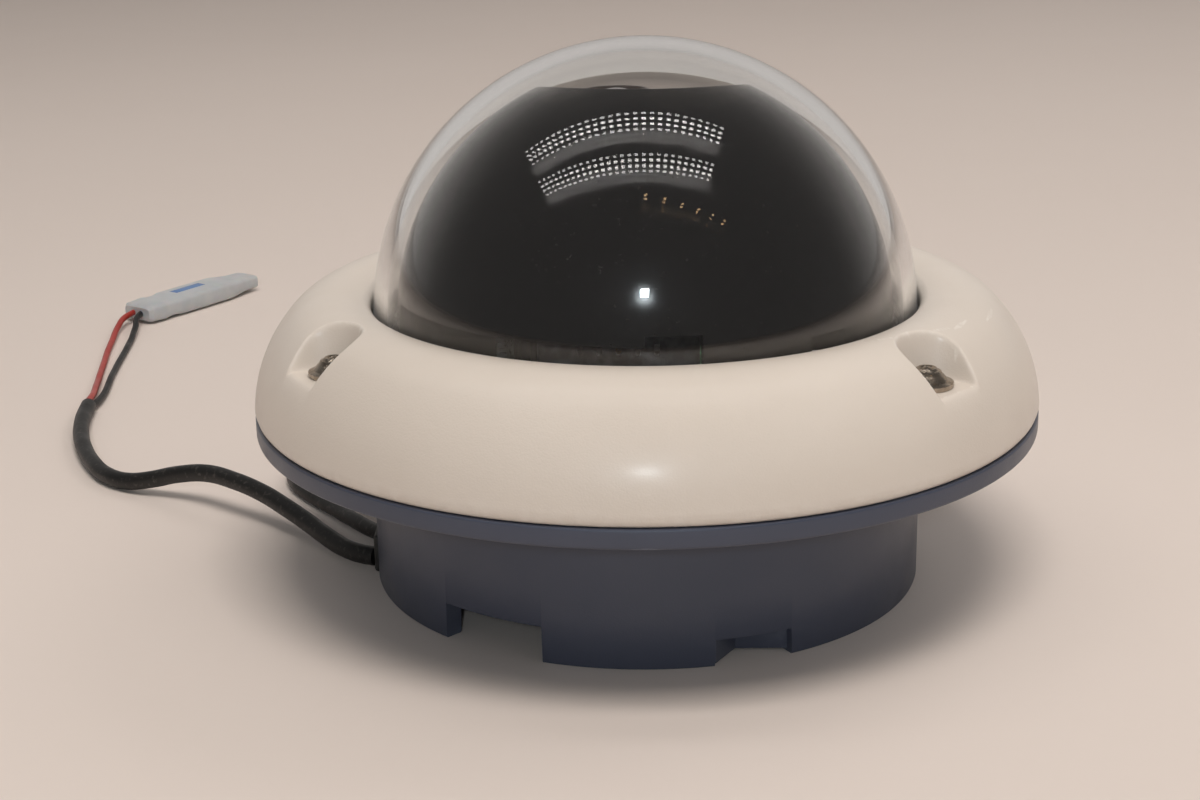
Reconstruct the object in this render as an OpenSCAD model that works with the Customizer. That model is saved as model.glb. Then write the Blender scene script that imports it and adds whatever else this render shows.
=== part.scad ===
// Compact outdoor pan-tilt-zoom dome camera: a cast base, a scooped cover ring, a clear dome and,
// inside a black slotted liner, a motorised pan table, a tilt cradle and a zoom camera block.
// Origin: centre of the barrel's bottom edge. +Z runs up through the dome, -Y is the front.

/* [Base] */
// Outer radius of the barrel
barrel_r = 58.9; // [57:0.1:61]
// Thickness of the barrel wall
wall = 4; // [3:0.5:5]
// Height of the flange's underside
flange_z = 34.4; // [34:0.2:36]
// Thickness of the flange
flange_t = 4; // [4:0.2:5]
// Outer radius of the flange
flange_r = 83.2; // [82.8:0.1:84]
// Depth of the hollow underneath the floor
hollow_h = 9; // [8:0.5:10]
// Thickness of the floor
floor_t = 3.5; // [3:0.5:4]
// Spacing of the four mounting holes, both ways
mount_pitch = 68; // [66:1:70]
// Radius of the mounting holes
mount_hole_r = 2.6; // [2.2:0.1:3]
// Radius of the centre cable hole in the floor
conduit_r = 8; // [6:0.5:9]

/* [Cover ring] */
// Wall thickness of the cover
cover_t = 3; // [2.5:0.25:3.5]
// Radius of the opening that the dome stands in
opening_r = 58; // [57.9:0.1:58.4]
// Width of a screw pocket
pocket_w = 16.5; // [15:0.5:18]
// Height of the pocket floors
pocket_z = 53.5; // [53:0.5:54.5]
// Distance of the cover screws from the axis
screw_ring_r = 71; // [70:0.5:72]

/* [Dome and liner] */
// Outer radius of the clear dome
dome_r = 57.5; // [57.2:0.1:57.6]
// Thickness of the dome
dome_t = 2.8; // [2.5:0.1:3]
// Height of the dome's centre
dome_z = 57; // [56.8:0.1:57.2]
// Outer radius of the black liner
liner_r = 52.6; // [52:0.1:53]
// Thickness of the liner
liner_t = 2; // [1.6:0.2:2]
// Width of the slot that the lens looks through
slot_w = 44; // [40:1:46]

/* [Pan and tilt] */
// Height of the tilt axis
axis_z = 56.4; // [56:0.2:56.8]
// Gear module of the pan drive
pan_module = 1; // [1:1:1]
// Teeth on the pan gear
pan_teeth = 60; // [60:1:60]
// Teeth on the pan pinion
pan_pinion_teeth = 12; // [12:1:12]
// Gear module of the tilt drive
tilt_module = 0.8; // [0.8:0.1:0.8]
// Teeth on the tilt gear
tilt_teeth = 40; // [40:1:40]
// Teeth on the tilt pinion
tilt_pinion_teeth = 10; // [10:1:10]

/* [Camera block] */
// Sideways offset of the lens from the pan axis
lens_x = -5.5; // [-6:0.5:0]
// Reach of the lens tip above the tilt axis
lens_reach = 47.4; // [46.4:0.2:49.4]
// Radius of the lens tip
lens_tip_r = 7; // [6:0.5:7.5]

/* [Cables] */
// Diameter of the power cable
power_d = 4.2; // [4:0.1:5]
// Diameter of the video cable
video_d = 3.6; // [3:0.1:4]
// Diameter of one power lead
lead_d = 1.8; // [1.4:0.1:2]

/* [Hidden] */

$fn = 96;
eps = 0.01;
gap = 0.3;
run_gap = 0.05;
round_cut_fn = 48;

slate = [0.24, 0.25, 0.31];
cream = [0.84, 0.77, 0.70];
glossy_black = [0.06, 0.06, 0.07];
soft_black = [0.10, 0.10, 0.11];
steel = [0.70, 0.71, 0.73];
board_green = [0.10, 0.33, 0.20];
brass = [0.80, 0.64, 0.32];

// ---- base ----
flange_top = flange_z + flange_t;
floor_z = hollow_h + floor_t;
barrel_in = barrel_r - wall;
grommet_y = 2.5;
grommet_w = 22;
stem_x = -53;
stem_l = 8;
stem_w = 14;
flange_edge = 0.8;
// Notches in the bottom edge: [direction from the front, width, height]
notches = [[-32, 22.6, 7.5], [92, 15, 5.4], [156, 20, 7.5]];
// Round scoop in the wall, closed behind: [direction, distance from the axis, radius, height]
scoop = [20.9, 61.5, 9, 5.4];
scoop_wall = 3.5;
groove_r = 80;
groove_w = 2;
groove_d = 1;
screw_boss_top = 46;
screw_boss_r = 6;
screw_boss_hole_z = 40;
m5_r = 2.5;
m5_hole_r = 2.55;

// ---- cover ring: two tangent arcs ----
rim_c = [53.6, 38];
rim_arc_r = 29.7;
crown_arc_r = 14;
join_a = 44;
crown_c = rim_c + (rim_arc_r - crown_arc_r) * [cos(join_a), sin(join_a)];
crown_end_a = 118;
lip_z = 57;
lip_w = 2.8;
// Directions of the three screw pockets, from the front
pocket_dirs = [-60, 49.5, 174.7];
pocket_inner_r = 65.6;
// Width of a pocket at its floor; the walls lean out to the full width at the crown
pocket_floor_w = 12.5;
pocket_crown_z = 62.5;
well_r = 5.2;
cover_boss_r = 8.4;
washer_t = 0.5;
washer_r = 4.9;
head_r = 4.75;
head_top_r = 3;
head_h = 2.75;
socket_r = 1.6;
socket_pin_r = 0.6;
socket_d = 1.6;

// ---- dome seat ----
seat_z = 53;
seat_t = 2.5;
seat_r = 61.8;
dome_gasket_z = seat_z + seat_t;
retainer_t = 1.5;
ear_ring_r = 68;
ear_r = 4;
m25_r = 1.25;
m25_hole_r = 1.3;
m25_head_r = 2.3;
m25_head_h = 1.6;
// Retainer ears sit 20 degrees either side of each line midway between two pockets
ear_dirs = [for (mid = [-5.2, 112.1, 237.4]) for (side = [-20, 20]) mid + side];

// ---- inner unit ----
chassis_z = 22;
chassis_t = 1.5;
chassis_r = 54;
post_ring_r = 49.3;
post_r = 4.5;
post_dirs = [0, 120, 240];
board_z = 16;
board_t = 1.6;
board_r = 46.5;
board_post_ring_r = 36;
board_post_r = 3;
board_post_dirs = [30, 150, 210];
// Chips, coils and capacitors: [x, y, width, depth, height]
board_parts = [
    [-20, -8, 14, 14, 1.6], [-22, 14, 10, 10, 1.4], [16, 22, 9, 9, 1.4], [-3, 26, 8, 5, 1.2],
    [-14, -28, 7, 7, 3.2], [34, 12, 7, 7, 3.2], [-37, -8, 5, 8, 2]];
// Cable sockets on the board: [x, y, turn]
sockets = [[-41, 9, 90], [-3, 38, 0], [22, 2, 90]];
turn_z = 31;
turn_t = 2.5;
turn_top = turn_z + turn_t;
hub_r = 9;
hub_in = 7.5;
bearing_z = 24.5;
bearing_h = 5;
race_t = 2.5;
ball_r = 1.6;
ball_ring_r = 14;
ball_count = 16;
pan_gear_r = pan_module * pan_teeth / 2;
pan_gear_h = 3.5;
pan_centre_d = pan_gear_r + pan_module * pan_pinion_teeth / 2;
pan_motor_dir = 30;
pan_motor_r = 10;
pan_lug_y = 12.5;
motor_shaft_r = 1;
stator_z = 16.5;
stator_r = 6.5;
rotor_shaft_r = 2;
rotor_cap_r = 12;
rotor_cap_t = 1.5;
pan_mesh_turn = mesh_turn(0, pan_teeth, pan_pinion_teeth);

// ---- liner ----
liner_dirs = [75, 195, 315];
liner_screw_r = 46.5;
liner_boss_r = 3.2;
liner_boss_h = 7;
// The slot's round end sits forward of the axis; the slot runs back and down to its foot
slot_y = 4;
slot_foot_z = 61;
// Windows in the lower edge: [from direction, to direction, top height]
liner_windows = [[-70, 0, 63.4], [-2, 12, 65.4], [37, 50, 62.4]];
window_z = 46;

// ---- tilt ----
arm_in = 29;
arm_t = 2;
arm_w = 20;
bush_r = 4.5;
trunnion_r = 3;
tilt_gear_x = 26;
tilt_gear_t = 2.5;
tilt_motor_pos = [-16, -12];
tilt_motor_r = 7.5;
tilt_motor_l = 10;
tilt_lobe_r = 9;
foot_x = 36.5;
foot_y = 6;
foot_l = 12;
foot_t = 2;
tilt_mesh_turn = mesh_turn(atan2(tilt_motor_pos[1], tilt_motor_pos[0]), tilt_teeth, tilt_pinion_teeth);
cradle_w = 26;
cradle_t = 2;
cradle_back = 19.5;

// ---- camera block, heights from the tilt axis ----
cam_w = 34;
cam_d = 26;
cam_back = -17.5;
cam_front = 20;
cam_wall = 1.5;
tube_r = 10;
tube_top = 36;
bore_wall = 1.4;
rod_x = 11;
rod_r = 1;
screw_y = 8.3;
drive_screw_r = 0.8;
carriage_r = 6.5;
zoom_z = -4;
zoom_h = 4;
focus_z = -11;
focus_h = 3;
filter_z = -12.8;
filter_t = 0.8;
screw_foot_z = -11.6;
lens_motor_r = 3;
lens_motor_z = 11;
board_gap = 1.2;

// ---- cables: routes chosen by hand, resting on the table ----
outlet_x = -59.3;
outlet_z = 3.2;
power_route = [
    [-58.1, -6.3, outlet_z], [-62.5, -4.4, 3.2], [-66.5, -1.2, 3.3], [-71, 3.8, 3.9],
    [-76.5, 10.5, 5], [-82.5, 17, 6.3], [-89, 23.6, 7.5], [-96.5, 30, 8.2], [-104.5, 36.4, 7.9],
    [-112.5, 40.8, 6.1], [-119.5, 43.6, 3.9], [-126, 46.4, 2.5], [-132.5, 52, 2.15],
    [-138, 60.8, 2.15], [-143, 72, 2.15], [-147.2, 84.8, 2.15], [-150, 98, 2.15],
    [-151.3, 109, 2.15]];
red_route = [
    [-151.8, 109, 2.9], [-152.2, 118, 2.5], [-154, 128, 1.8], [-156, 140, 1.2], [-158, 153, 1],
    [-160, 166, 1], [-161.5, 179, 1.3], [-162.4, 190, 2.2], [-162.2, 197, 3], [-160.6, 203, 3.2]];
black_route = [
    [-150.7, 109, 1.7], [-150, 118, 1.5], [-151, 128, 1.2], [-152.6, 140, 1], [-153.8, 153, 1],
    [-154.8, 166, 1], [-155.8, 179, 1.3], [-157, 190, 2.2], [-158, 196, 3], [-157.9, 201.4, 3.2]];
video_route = [
    [-58.3, 6.4, outlet_z], [-62.6, 11.4, 3], [-67, 17.8, 2.7], [-71.5, 24.8, 2.3],
    [-76.2, 31.8, 1.95], [-80.8, 38.4, 1.9], [-84.8, 45.8, 1.9], [-86.6, 55, 1.9],
    [-84.6, 65.4, 1.9], [-77.6, 76, 1.9], [-67, 85, 1.9], [-55, 91, 2.2], [-42, 95, 3.3],
    [-30, 97.2, 5.4], [-18, 97.6, 7.4], [-8, 97.6, 7.4]];
plug_dir = 57;
plug_tail = [-159.2, 202.2];
plug_l = 50;
plug_w = 13;
plug_h = 6;
bnc_r = 7.3;

// Turns a child built along +X to a direction counted from the front (-Y) towards +X
module toward(dir) {
    rotate([0, 0, dir - 90]) children();
}

module ring(r_out, r_in, h) {
    difference() {
        cylinder(r = r_out, h = h);
        translate([0, 0, -eps]) cylinder(r = r_in, h = h + 2 * eps);
    }
}

module rod_along_x(r, from, to) {
    translate([from, 0, 0]) rotate([0, 90, 0]) cylinder(r = r, h = to - from);
}

function arc(c, r, from, to, steps) = [
    for (i = [0 : steps])
        let (a = from + (to - from) * i / steps)
            c + r * [cos(a), sin(a)]];

// Outline of a spur gear with straight-flanked teeth
function gear_outline(teeth, m, turn = 0) = [
    for (i = [0 : teeth - 1])
        for (p = [[-0.27, -1.2], [-0.11, 0.8], [0.11, 0.8], [0.27, -1.2]])
            let (r = m * (teeth / 2 + p[1]), a = 360 / teeth * (i + p[0]) + turn)
                [r * cos(a), r * sin(a)]];

// Turn that puts a pinion's tooth gap opposite the gear's tooth; line is the direction from the
// gear to the pinion in the frame that the pinion is drawn in
function mesh_turn(line, gear_n, pinion_n) =
    let (gear_phase = line * gear_n / 360)
        line + 180 + 360 / pinion_n * (0.5 + gear_phase - floor(gear_phase));

function unit(v) = v / norm(v);

// Closed tube swept along a route, one ring of points at each route point
module swept_tube(route, r, sides) {
    last = len(route) - 1;
    rings = [
        for (i = [0 : last])
            let (t = unit(route[min(i + 1, last)] - route[max(i - 1, 0)]),
                 side = unit(cross(t, [0, 0, 1])),
                 up = cross(side, t))
                for (k = [0 : sides - 1])
                    let (a = 360 * (k + 0.5) / sides)
                        route[i] + r * (cos(a) * side + sin(a) * up)];
    walls = [
        for (i = [0 : last - 1])
            for (k = [0 : sides - 1])
                let (a = i * sides + k, b = i * sides + (k + 1) % sides)
                    each [[a, b, b + sides], [a, b + sides, a + sides]]];
    caps = [[for (k = [sides - 1 : -1 : 0]) k], [for (k = [0 : sides - 1]) last * sides + k]];
    polyhedron(points = rings, faces = concat(walls, caps));
}

module notch_cuts() {
    for (n = notches)
        toward(n[0])
            translate([barrel_in - 6, -n[1] / 2, -eps]) cube([wall + 12, n[1], n[2] + eps]);
}

module base_housing() {
    color(slate)
    difference() {
        union() {
            difference() {
                union() {
                    cylinder(r = barrel_r, h = flange_z + eps);
                    translate([0, 0, flange_z]) rotate_extrude() polygon([
                        [0, 0], [flange_r - flange_edge, 0], [flange_r, flange_edge],
                        [flange_r, flange_t - flange_edge / 2], [flange_r - flange_edge / 2, flange_t],
                        [0, flange_t]]);
                    for (dir = pocket_dirs)
                        toward(dir) translate([screw_ring_r, 0, flange_z + 1])
                            cylinder(r = screw_boss_r, h = screw_boss_top - flange_z - 1);
                }
                translate([0, 0, -eps]) cylinder(r = barrel_in, h = hollow_h + eps);
                translate([0, 0, floor_z]) cylinder(r = barrel_in, h = flange_top);
                notch_cuts();
                translate([0, 0, flange_top - groove_d])
                    ring(groove_r + groove_w / 2, groove_r - groove_w / 2, groove_d + 1);
            }
            intersection() {
                cylinder(r = barrel_in + eps, h = hollow_h + eps);
                toward(scoop[0]) translate([scoop[1], 0, 0])
                    cylinder(r = scoop[2] + scoop_wall, h = hollow_h + eps);
            }
            for (a = post_dirs)
                rotate([0, 0, a]) translate([post_ring_r, 0, floor_z - eps])
                    cylinder(r = post_r, h = chassis_z - floor_z + eps);
            for (a = board_post_dirs)
                rotate([0, 0, a]) translate([board_post_ring_r, 0, floor_z - eps])
                    cylinder(r = board_post_r, h = board_z - floor_z + eps);
        }
        toward(scoop[0]) translate([scoop[1], 0, -eps]) cylinder(r = scoop[2], h = scoop[3] + eps);
        for (x = [-1, 1], y = [-1, 1])
            translate([x * mount_pitch / 2, y * mount_pitch / 2, hollow_h - 1])
                cylinder(r = mount_hole_r, h = floor_t + 2);
        translate([0, 0, hollow_h - 1]) cylinder(r = conduit_r, h = floor_t + 2);
        for (dir = pocket_dirs)
            toward(dir) translate([screw_ring_r, 0, screw_boss_hole_z])
                cylinder(r = m5_hole_r, h = screw_boss_top);
        for (a = post_dirs)
            rotate([0, 0, a]) translate([post_ring_r, 0, floor_z + 1])
                cylinder(r = m25_hole_r, h = chassis_z);
        for (a = board_post_dirs)
            rotate([0, 0, a]) translate([board_post_ring_r, 0, hollow_h + 1])
                cylinder(r = m25_hole_r, h = board_z);
        translate([-barrel_r - 2, grommet_y - grommet_w / 2, -eps])
            cube([wall + 9, grommet_w, hollow_h + eps]);
        translate([stem_x, grommet_y - stem_w / 2, hollow_h - eps]) cube([stem_l, stem_w, floor_t + 1]);
    }
}

// Flat ring that seals the floor's cable hole against the wall box
module floor_gasket() {
    color(soft_black) translate([0, 0, hollow_h - 1.5]) ring(conduit_r + 5, conduit_r + 1.5, 1.5);
}

module cover_gasket() {
    color(soft_black) translate([0, 0, flange_top - groove_d])
        ring(groove_r + groove_w / 2, groove_r - groove_w / 2, 2 * groove_d);
}

// The ring's outer surface in the profile plane, from the rim's widest part over the crown
function cover_curve(inset, low_a, high_a) = concat(
    arc(rim_c, rim_arc_r - inset, low_a, join_a, 8),
    arc(crown_c, crown_arc_r - inset, join_a + 6, high_a, 12));

function flipped(list) = [for (i = [len(list) - 1 : -1 : 0]) list[i]];

module cover_profile() {
    lip_in = opening_r + lip_w;
    polygon(concat(
        [[groove_r + 2, flange_top]],
        cover_curve(0, 4, crown_end_a - 8),
        [[opening_r + 0.6, lip_z + 4], [opening_r, lip_z + 3], [opening_r, lip_z], [lip_in, lip_z]],
        flipped(cover_curve(cover_t, 9, crown_end_a - 8)),
        [[groove_r - 2, flange_top + cover_t], [groove_r - 2, flange_top]]));
}

module cover_solid() {
    difference() {
        rotate_extrude() cover_profile();
        translate([0, 0, flange_top - eps])
            ring(groove_r + groove_w / 2, groove_r - groove_w / 2, groove_d + eps);
    }
}

module pocket_shape(w, inner_r, h) {
    translate([inner_r + w / 2, 0, 0]) cylinder(r = w / 2, h = h);
    translate([inner_r + w / 2, -w / 2, 0]) cube([30, w, h]);
}

// Pocket with a round inner end and walls that lean outwards, from its floor up
module pocket_cut() {
    h = 12;
    low = pocket_floor_w / 2;
    high = low + (pocket_w / 2 - low) * h / (pocket_crown_z - pocket_z);
    translate([pocket_inner_r + pocket_w / 2, 0, 0]) {
        cylinder(r1 = low, r2 = high, h = h);
        rotate([90, 0, 90]) linear_extrude(30)
            polygon([[-low, 0], [low, 0], [high, h], [-high, h]]);
    }
}

module enclosure_cover() {
    shell_under = pocket_z - cover_t;
    color(cream)
    difference() {
        union() {
            cover_solid();
            // Walls and floor of the pockets, kept inside the ring's outer shape
            intersection() {
                rotate_extrude() polygon(concat(
                    [[62.6, screw_boss_top], [rim_c[0] + rim_arc_r - 2, screw_boss_top]],
                    cover_curve(0.4, 18, crown_end_a - 18)));
                for (dir = pocket_dirs)
                    toward(dir) translate([0, 0, shell_under])
                        pocket_shape(pocket_w + 2 * cover_t - 1, pocket_inner_r - cover_t + 0.5, 20);
            }
            for (dir = pocket_dirs)
                toward(dir) translate([screw_ring_r, 0, screw_boss_top])
                    cylinder(r = cover_boss_r, h = shell_under - screw_boss_top + eps);
            for (dir = ear_dirs)
                toward(dir) translate([ear_ring_r, 0, seat_z]) cylinder(r = 3, h = 8);
        }
        for (dir = pocket_dirs)
            toward(dir) {
                translate([0, 0, pocket_z]) pocket_cut();
                translate([screw_ring_r, 0, pocket_z]) cylinder(r = well_r, h = 12);
                translate([screw_ring_r, 0, screw_boss_top - 1]) cylinder(r = m5_r + gap, h = 10);
            }
        for (dir = ear_dirs)
            toward(dir) translate([ear_ring_r, 0, seat_z - 1]) cylinder(r = m25_hole_r, h = 6);
    }
}

module cover_screws() {
    head_z = pocket_z + washer_t;
    color(steel)
    for (dir = pocket_dirs)
        toward(dir) translate([screw_ring_r, 0, 0])
            difference() {
                union() {
                    translate([0, 0, screw_boss_hole_z + 1])
                        cylinder(r = m5_r, h = head_z - screw_boss_hole_z - 1 + eps);
                    translate([0, 0, head_z]) cylinder(r1 = head_r, r2 = head_top_r, h = head_h);
                }
                translate([0, 0, head_z + head_h - socket_d]) ring(socket_r, socket_pin_r, 3);
            }
}

module screw_washers() {
    color(steel)
    for (dir = pocket_dirs)
        toward(dir) translate([screw_ring_r, 0, pocket_z]) ring(washer_r, m5_hole_r, washer_t);
}

module dome_window() {
    color([0.85, 0.90, 0.92, 0.25]) {
        difference() {
            translate([0, 0, dome_z]) sphere(r = dome_r);
            translate([0, 0, dome_z]) sphere(r = dome_r - dome_t);
            translate([-100, -100, dome_z - 200]) cube([200, 200, 200]);
        }
        translate([0, 0, seat_z]) ring(dome_r, dome_r - dome_t, dome_z - seat_z);
        translate([0, 0, seat_z]) ring(seat_r, dome_r - eps, seat_t);
    }
}

module dome_gasket() {
    color(soft_black) translate([0, 0, dome_gasket_z]) ring(seat_r, opening_r, lip_z - dome_gasket_z);
}

module dome_retainer() {
    ring_in = 55;
    color(steel) translate([0, 0, seat_z - retainer_t])
    difference() {
        union() {
            cylinder(r = seat_r, h = retainer_t);
            for (dir = ear_dirs)
                toward(dir) {
                    translate([ear_ring_r, 0, 0]) cylinder(r = ear_r, h = retainer_t);
                    translate([seat_r - 3, -ear_r, 0])
                        cube([ear_ring_r - seat_r + 3, 2 * ear_r, retainer_t]);
                }
        }
        translate([0, 0, -1]) cylinder(r = ring_in, h = 4);
        for (dir = ear_dirs)
            toward(dir) translate([ear_ring_r, 0, -1]) cylinder(r = m25_hole_r, h = 4);
    }
}

// A small cross-head screw with its head below the face at z = 0 and its shank above
module screw_up(shank) {
    translate([0, 0, -m25_head_h]) difference() {
        cylinder(r = m25_head_r, h = m25_head_h);
        for (a = [0, 90])
            rotate([0, 0, a]) translate([-1.3, -0.25, -eps]) cube([2.6, 0.5, 0.9]);
    }
    translate([0, 0, -eps]) cylinder(r = m25_r, h = shank);
}

module screw_down(shank) {
    mirror([0, 0, 1]) screw_up(shank);
}

module retainer_screws() {
    color(steel)
    for (dir = ear_dirs)
        toward(dir) translate([ear_ring_r, 0, seat_z - retainer_t]) screw_up(6);
}

// The pan motor's place below the chassis plate
module at_pan_motor() {
    toward(pan_motor_dir) translate([pan_centre_d, 0, 0]) children();
}

module chassis_plate() {
    housing_r = ball_ring_r + race_t + ball_r + 3;
    color(steel) {
        difference() {
            translate([0, 0, chassis_z]) cylinder(r = chassis_r, h = chassis_t);
            translate([0, 0, chassis_z - 1]) cylinder(r = hub_in, h = 4);
            at_pan_motor() translate([0, 0, chassis_z - 1]) cylinder(r = 2.5, h = 4);
            at_pan_motor() for (s = [-1, 1])
                translate([0, s * pan_lug_y, chassis_z - 1]) cylinder(r = m25_hole_r, h = 4);
            for (a = post_dirs)
                rotate([0, 0, a]) translate([post_ring_r, 0, chassis_z - 1])
                    cylinder(r = m25_hole_r, h = 4);
            for (x = [-1, 1], y = [-1, 1])
                translate([x * mount_pitch / 2, y * mount_pitch / 2, chassis_z - 1])
                    cylinder(r = 5, h = 4);
        }
        translate([0, 0, chassis_z + chassis_t - eps])
            ring(housing_r, ball_ring_r + race_t + ball_r, bearing_z + bearing_h - chassis_z - chassis_t);
    }
}

module chassis_screws() {
    color(steel)
    for (a = post_dirs)
        rotate([0, 0, a]) translate([post_ring_r, 0, chassis_z + chassis_t]) screw_down(8);
}

module main_board() {
    color(board_green)
    difference() {
        translate([0, 0, board_z]) cylinder(r = board_r, h = board_t);
        at_pan_motor() translate([0, 0, board_z - 1]) cylinder(r = pan_motor_r + 5.5, h = 4);
        translate([0, 0, board_z - 1]) cylinder(r = stator_r + 4, h = 4);
        for (a = post_dirs)
            rotate([0, 0, a]) translate([post_ring_r, 0, board_z - 1]) cylinder(r = post_r + 1, h = 4);
        for (a = board_post_dirs)
            rotate([0, 0, a]) translate([board_post_ring_r, 0, board_z - 1])
                cylinder(r = m25_hole_r, h = 4);
        for (x = [-1, 1], y = [-1, 1])
            translate([x * mount_pitch / 2, y * mount_pitch / 2, board_z - 1]) cylinder(r = 5.5, h = 4);
    }
}

module board_chips() {
    color(soft_black)
    for (p = board_parts)
        translate([p[0] - p[2] / 2, p[1] - p[3] / 2, board_z + board_t]) cube([p[2], p[3], p[4]]);
}

module board_connectors() {
    color("ivory")
    for (p = sockets)
        translate([p[0], p[1], board_z + board_t]) rotate([0, 0, p[2]])
            difference() {
                translate([-5, -2.5, 0]) cube([10, 5, 4]);
                translate([-4.2, -1.7, 1]) cube([8.4, 3.4, 4]);
            }
}

module board_screws() {
    color(steel)
    for (a = board_post_dirs)
        rotate([0, 0, a]) translate([board_post_ring_r, 0, board_z + board_t]) screw_down(5);
}

module pan_motor() {
    can_z = floor_z + 0.5;
    color(steel)
    at_pan_motor() {
        difference() {
            union() {
                translate([0, 0, can_z]) cylinder(r = pan_motor_r, h = chassis_z - can_z);
                translate([-3.5, -pan_lug_y - 2, chassis_z - 1]) cube([7, 2 * pan_lug_y + 4, 1]);
            }
            translate([0, 0, chassis_z - 6]) cylinder(r = motor_shaft_r + gap, h = 8);
            for (s = [-1, 1])
                translate([0, s * pan_lug_y, chassis_z - 2]) cylinder(r = m25_hole_r, h = 4);
        }
    }
}

module motor_screws() {
    color(steel)
    at_pan_motor() for (s = [-1, 1])
        translate([0, s * pan_lug_y, chassis_z + chassis_t]) screw_down(3);
}

module slip_ring_stator() {
    color(glossy_black)
    difference() {
        union() {
            translate([0, 0, stator_z]) cylinder(r = stator_r, h = 13);
            translate([0, 0, chassis_z - 1.5]) cylinder(r = stator_r + 3.4, h = 1.5);
        }
        translate([0, 0, stator_z + 2]) cylinder(r = rotor_shaft_r + gap, h = 20);
    }
}

module bearing_outer_race() {
    color(steel) translate([0, 0, bearing_z])
    rotate_extrude() difference() {
        translate([ball_ring_r + 0.6, 0]) square([race_t + ball_r - 0.6, bearing_h]);
        translate([ball_ring_r, bearing_h / 2]) circle(r = ball_r + gap, $fn = round_cut_fn);
    }
}

module cable_grommet() {
    foot_z = 0.4;
    color(soft_black) {
        translate([outlet_x, grommet_y - grommet_w / 2, foot_z]) cube([11.8, grommet_w, hollow_h - foot_z]);
        translate([stem_x, grommet_y - stem_w / 2, hollow_h - eps]) cube([stem_l, stem_w, floor_t + 1.2]);
    }
}

// Cable that leaves the grommet, its first end cut flush with the grommet's face
module outlet_cable(route, d) {
    color(soft_black)
    difference() {
        swept_tube(route, d / 2, 10);
        translate([outlet_x, -grommet_w, -eps]) cube([10, 2 * grommet_w, hollow_h]);
    }
}

module power_cable() {
    outlet_cable(power_route, power_d);
}

module red_lead() {
    color([0.75, 0.15, 0.12]) swept_tube(red_route, lead_d / 2, 8);
}

module black_lead() {
    color(soft_black) swept_tube(black_route, lead_d / 2, 8);
}

module power_plug() {
    nose = plug_w / 2 - 1.5;
    color([0.88, 0.90, 0.92])
    translate([plug_tail[0], plug_tail[1], 0.2]) rotate([0, 0, plug_dir])
        difference() {
            linear_extrude(plug_h) polygon([
                [0, -plug_w / 2 + 1], [1, -plug_w / 2], [plug_l - 12, -plug_w / 2], [plug_l, -nose],
                [plug_l, nose], [plug_l - 12, plug_w / 2], [1, plug_w / 2], [0, plug_w / 2 - 1]]);
            for (s = [-1, 1])
                translate([plug_l - 9, s * 2.4, plug_h / 2]) rod_along_x(1.5, 0, 10);
        }
}

module plug_contacts() {
    color(brass)
    translate([plug_tail[0], plug_tail[1], 0.2 + plug_h / 2]) rotate([0, 0, plug_dir])
        for (s = [-1, 1])
            translate([plug_l - 9, s * 2.4, 0]) rod_along_x(0.9, 0, 7);
}

module video_cable() {
    outlet_cable(video_route, video_d);
}

// Bayonet plug on the end of the video cable
module video_plug() {
    color(steel)
    translate([-8, 97.6, 7.4]) difference() {
        union() {
            rod_along_x(3.6, 0, 12);
            rod_along_x(5, 10, 18);
            rod_along_x(bnc_r, 16, 30);
        }
        rod_along_x(5, 20, 31);
    }
}

module video_plug_pin() {
    color(brass) translate([-8, 97.6, 7.4]) rod_along_x(0.8, 20, 28);
}

// ---- pan body ----
module turntable() {
    color(soft_black)
    difference() {
        union() {
            translate([0, 0, turn_z]) cylinder(r = liner_r, h = turn_t);
            translate([0, 0, bearing_z - 0.5]) cylinder(r = hub_r, h = turn_z - bearing_z + 1);
        }
        translate([0, 0, 20]) cylinder(r = hub_in, h = 30);
        translate([0, 0, turn_top - rotor_cap_t]) cylinder(r = rotor_cap_r, h = 5);
        for (dir = liner_dirs)
            toward(dir) translate([liner_screw_r, 0, turn_z - 1]) cylinder(r = m25_hole_r, h = 5);
        for (x = [-1, 1], y = [-1, 1])
            translate([x * foot_x, y * foot_y, turn_z - 1]) cylinder(r = m25_hole_r, h = 5);
    }
}

module pan_gear() {
    color("ivory") translate([0, 0, turn_z - pan_gear_h])
    linear_extrude(pan_gear_h) difference() {
        polygon(gear_outline(pan_teeth, pan_module));
        circle(r = pan_gear_r - 5);
    }
}

module bearing_inner_race() {
    color(steel) translate([0, 0, bearing_z])
    rotate_extrude() difference() {
        translate([hub_r, 0]) square([ball_ring_r - hub_r - 0.6, bearing_h]);
        translate([ball_ring_r, bearing_h / 2]) circle(r = ball_r, $fn = round_cut_fn);
    }
}

module bearing_balls() {
    color(steel)
    for (i = [0 : ball_count - 1])
        rotate([0, 0, i * 360 / ball_count])
            translate([ball_ring_r, 0, bearing_z + bearing_h / 2])
                sphere(r = ball_r - 0.02, $fn = round_cut_fn);
}

module slip_ring_rotor() {
    foot_z = stator_z + 3;
    color(brass) {
        translate([0, 0, foot_z]) cylinder(r = rotor_shaft_r, h = turn_top - foot_z);
        translate([0, 0, turn_top - rotor_cap_t]) cylinder(r = rotor_cap_r, h = rotor_cap_t);
    }
}

// Places a child at the tilt motor, its axis along +X
module at_tilt_motor() {
    translate([0, tilt_motor_pos[0], axis_z + tilt_motor_pos[1]]) children();
}

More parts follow.
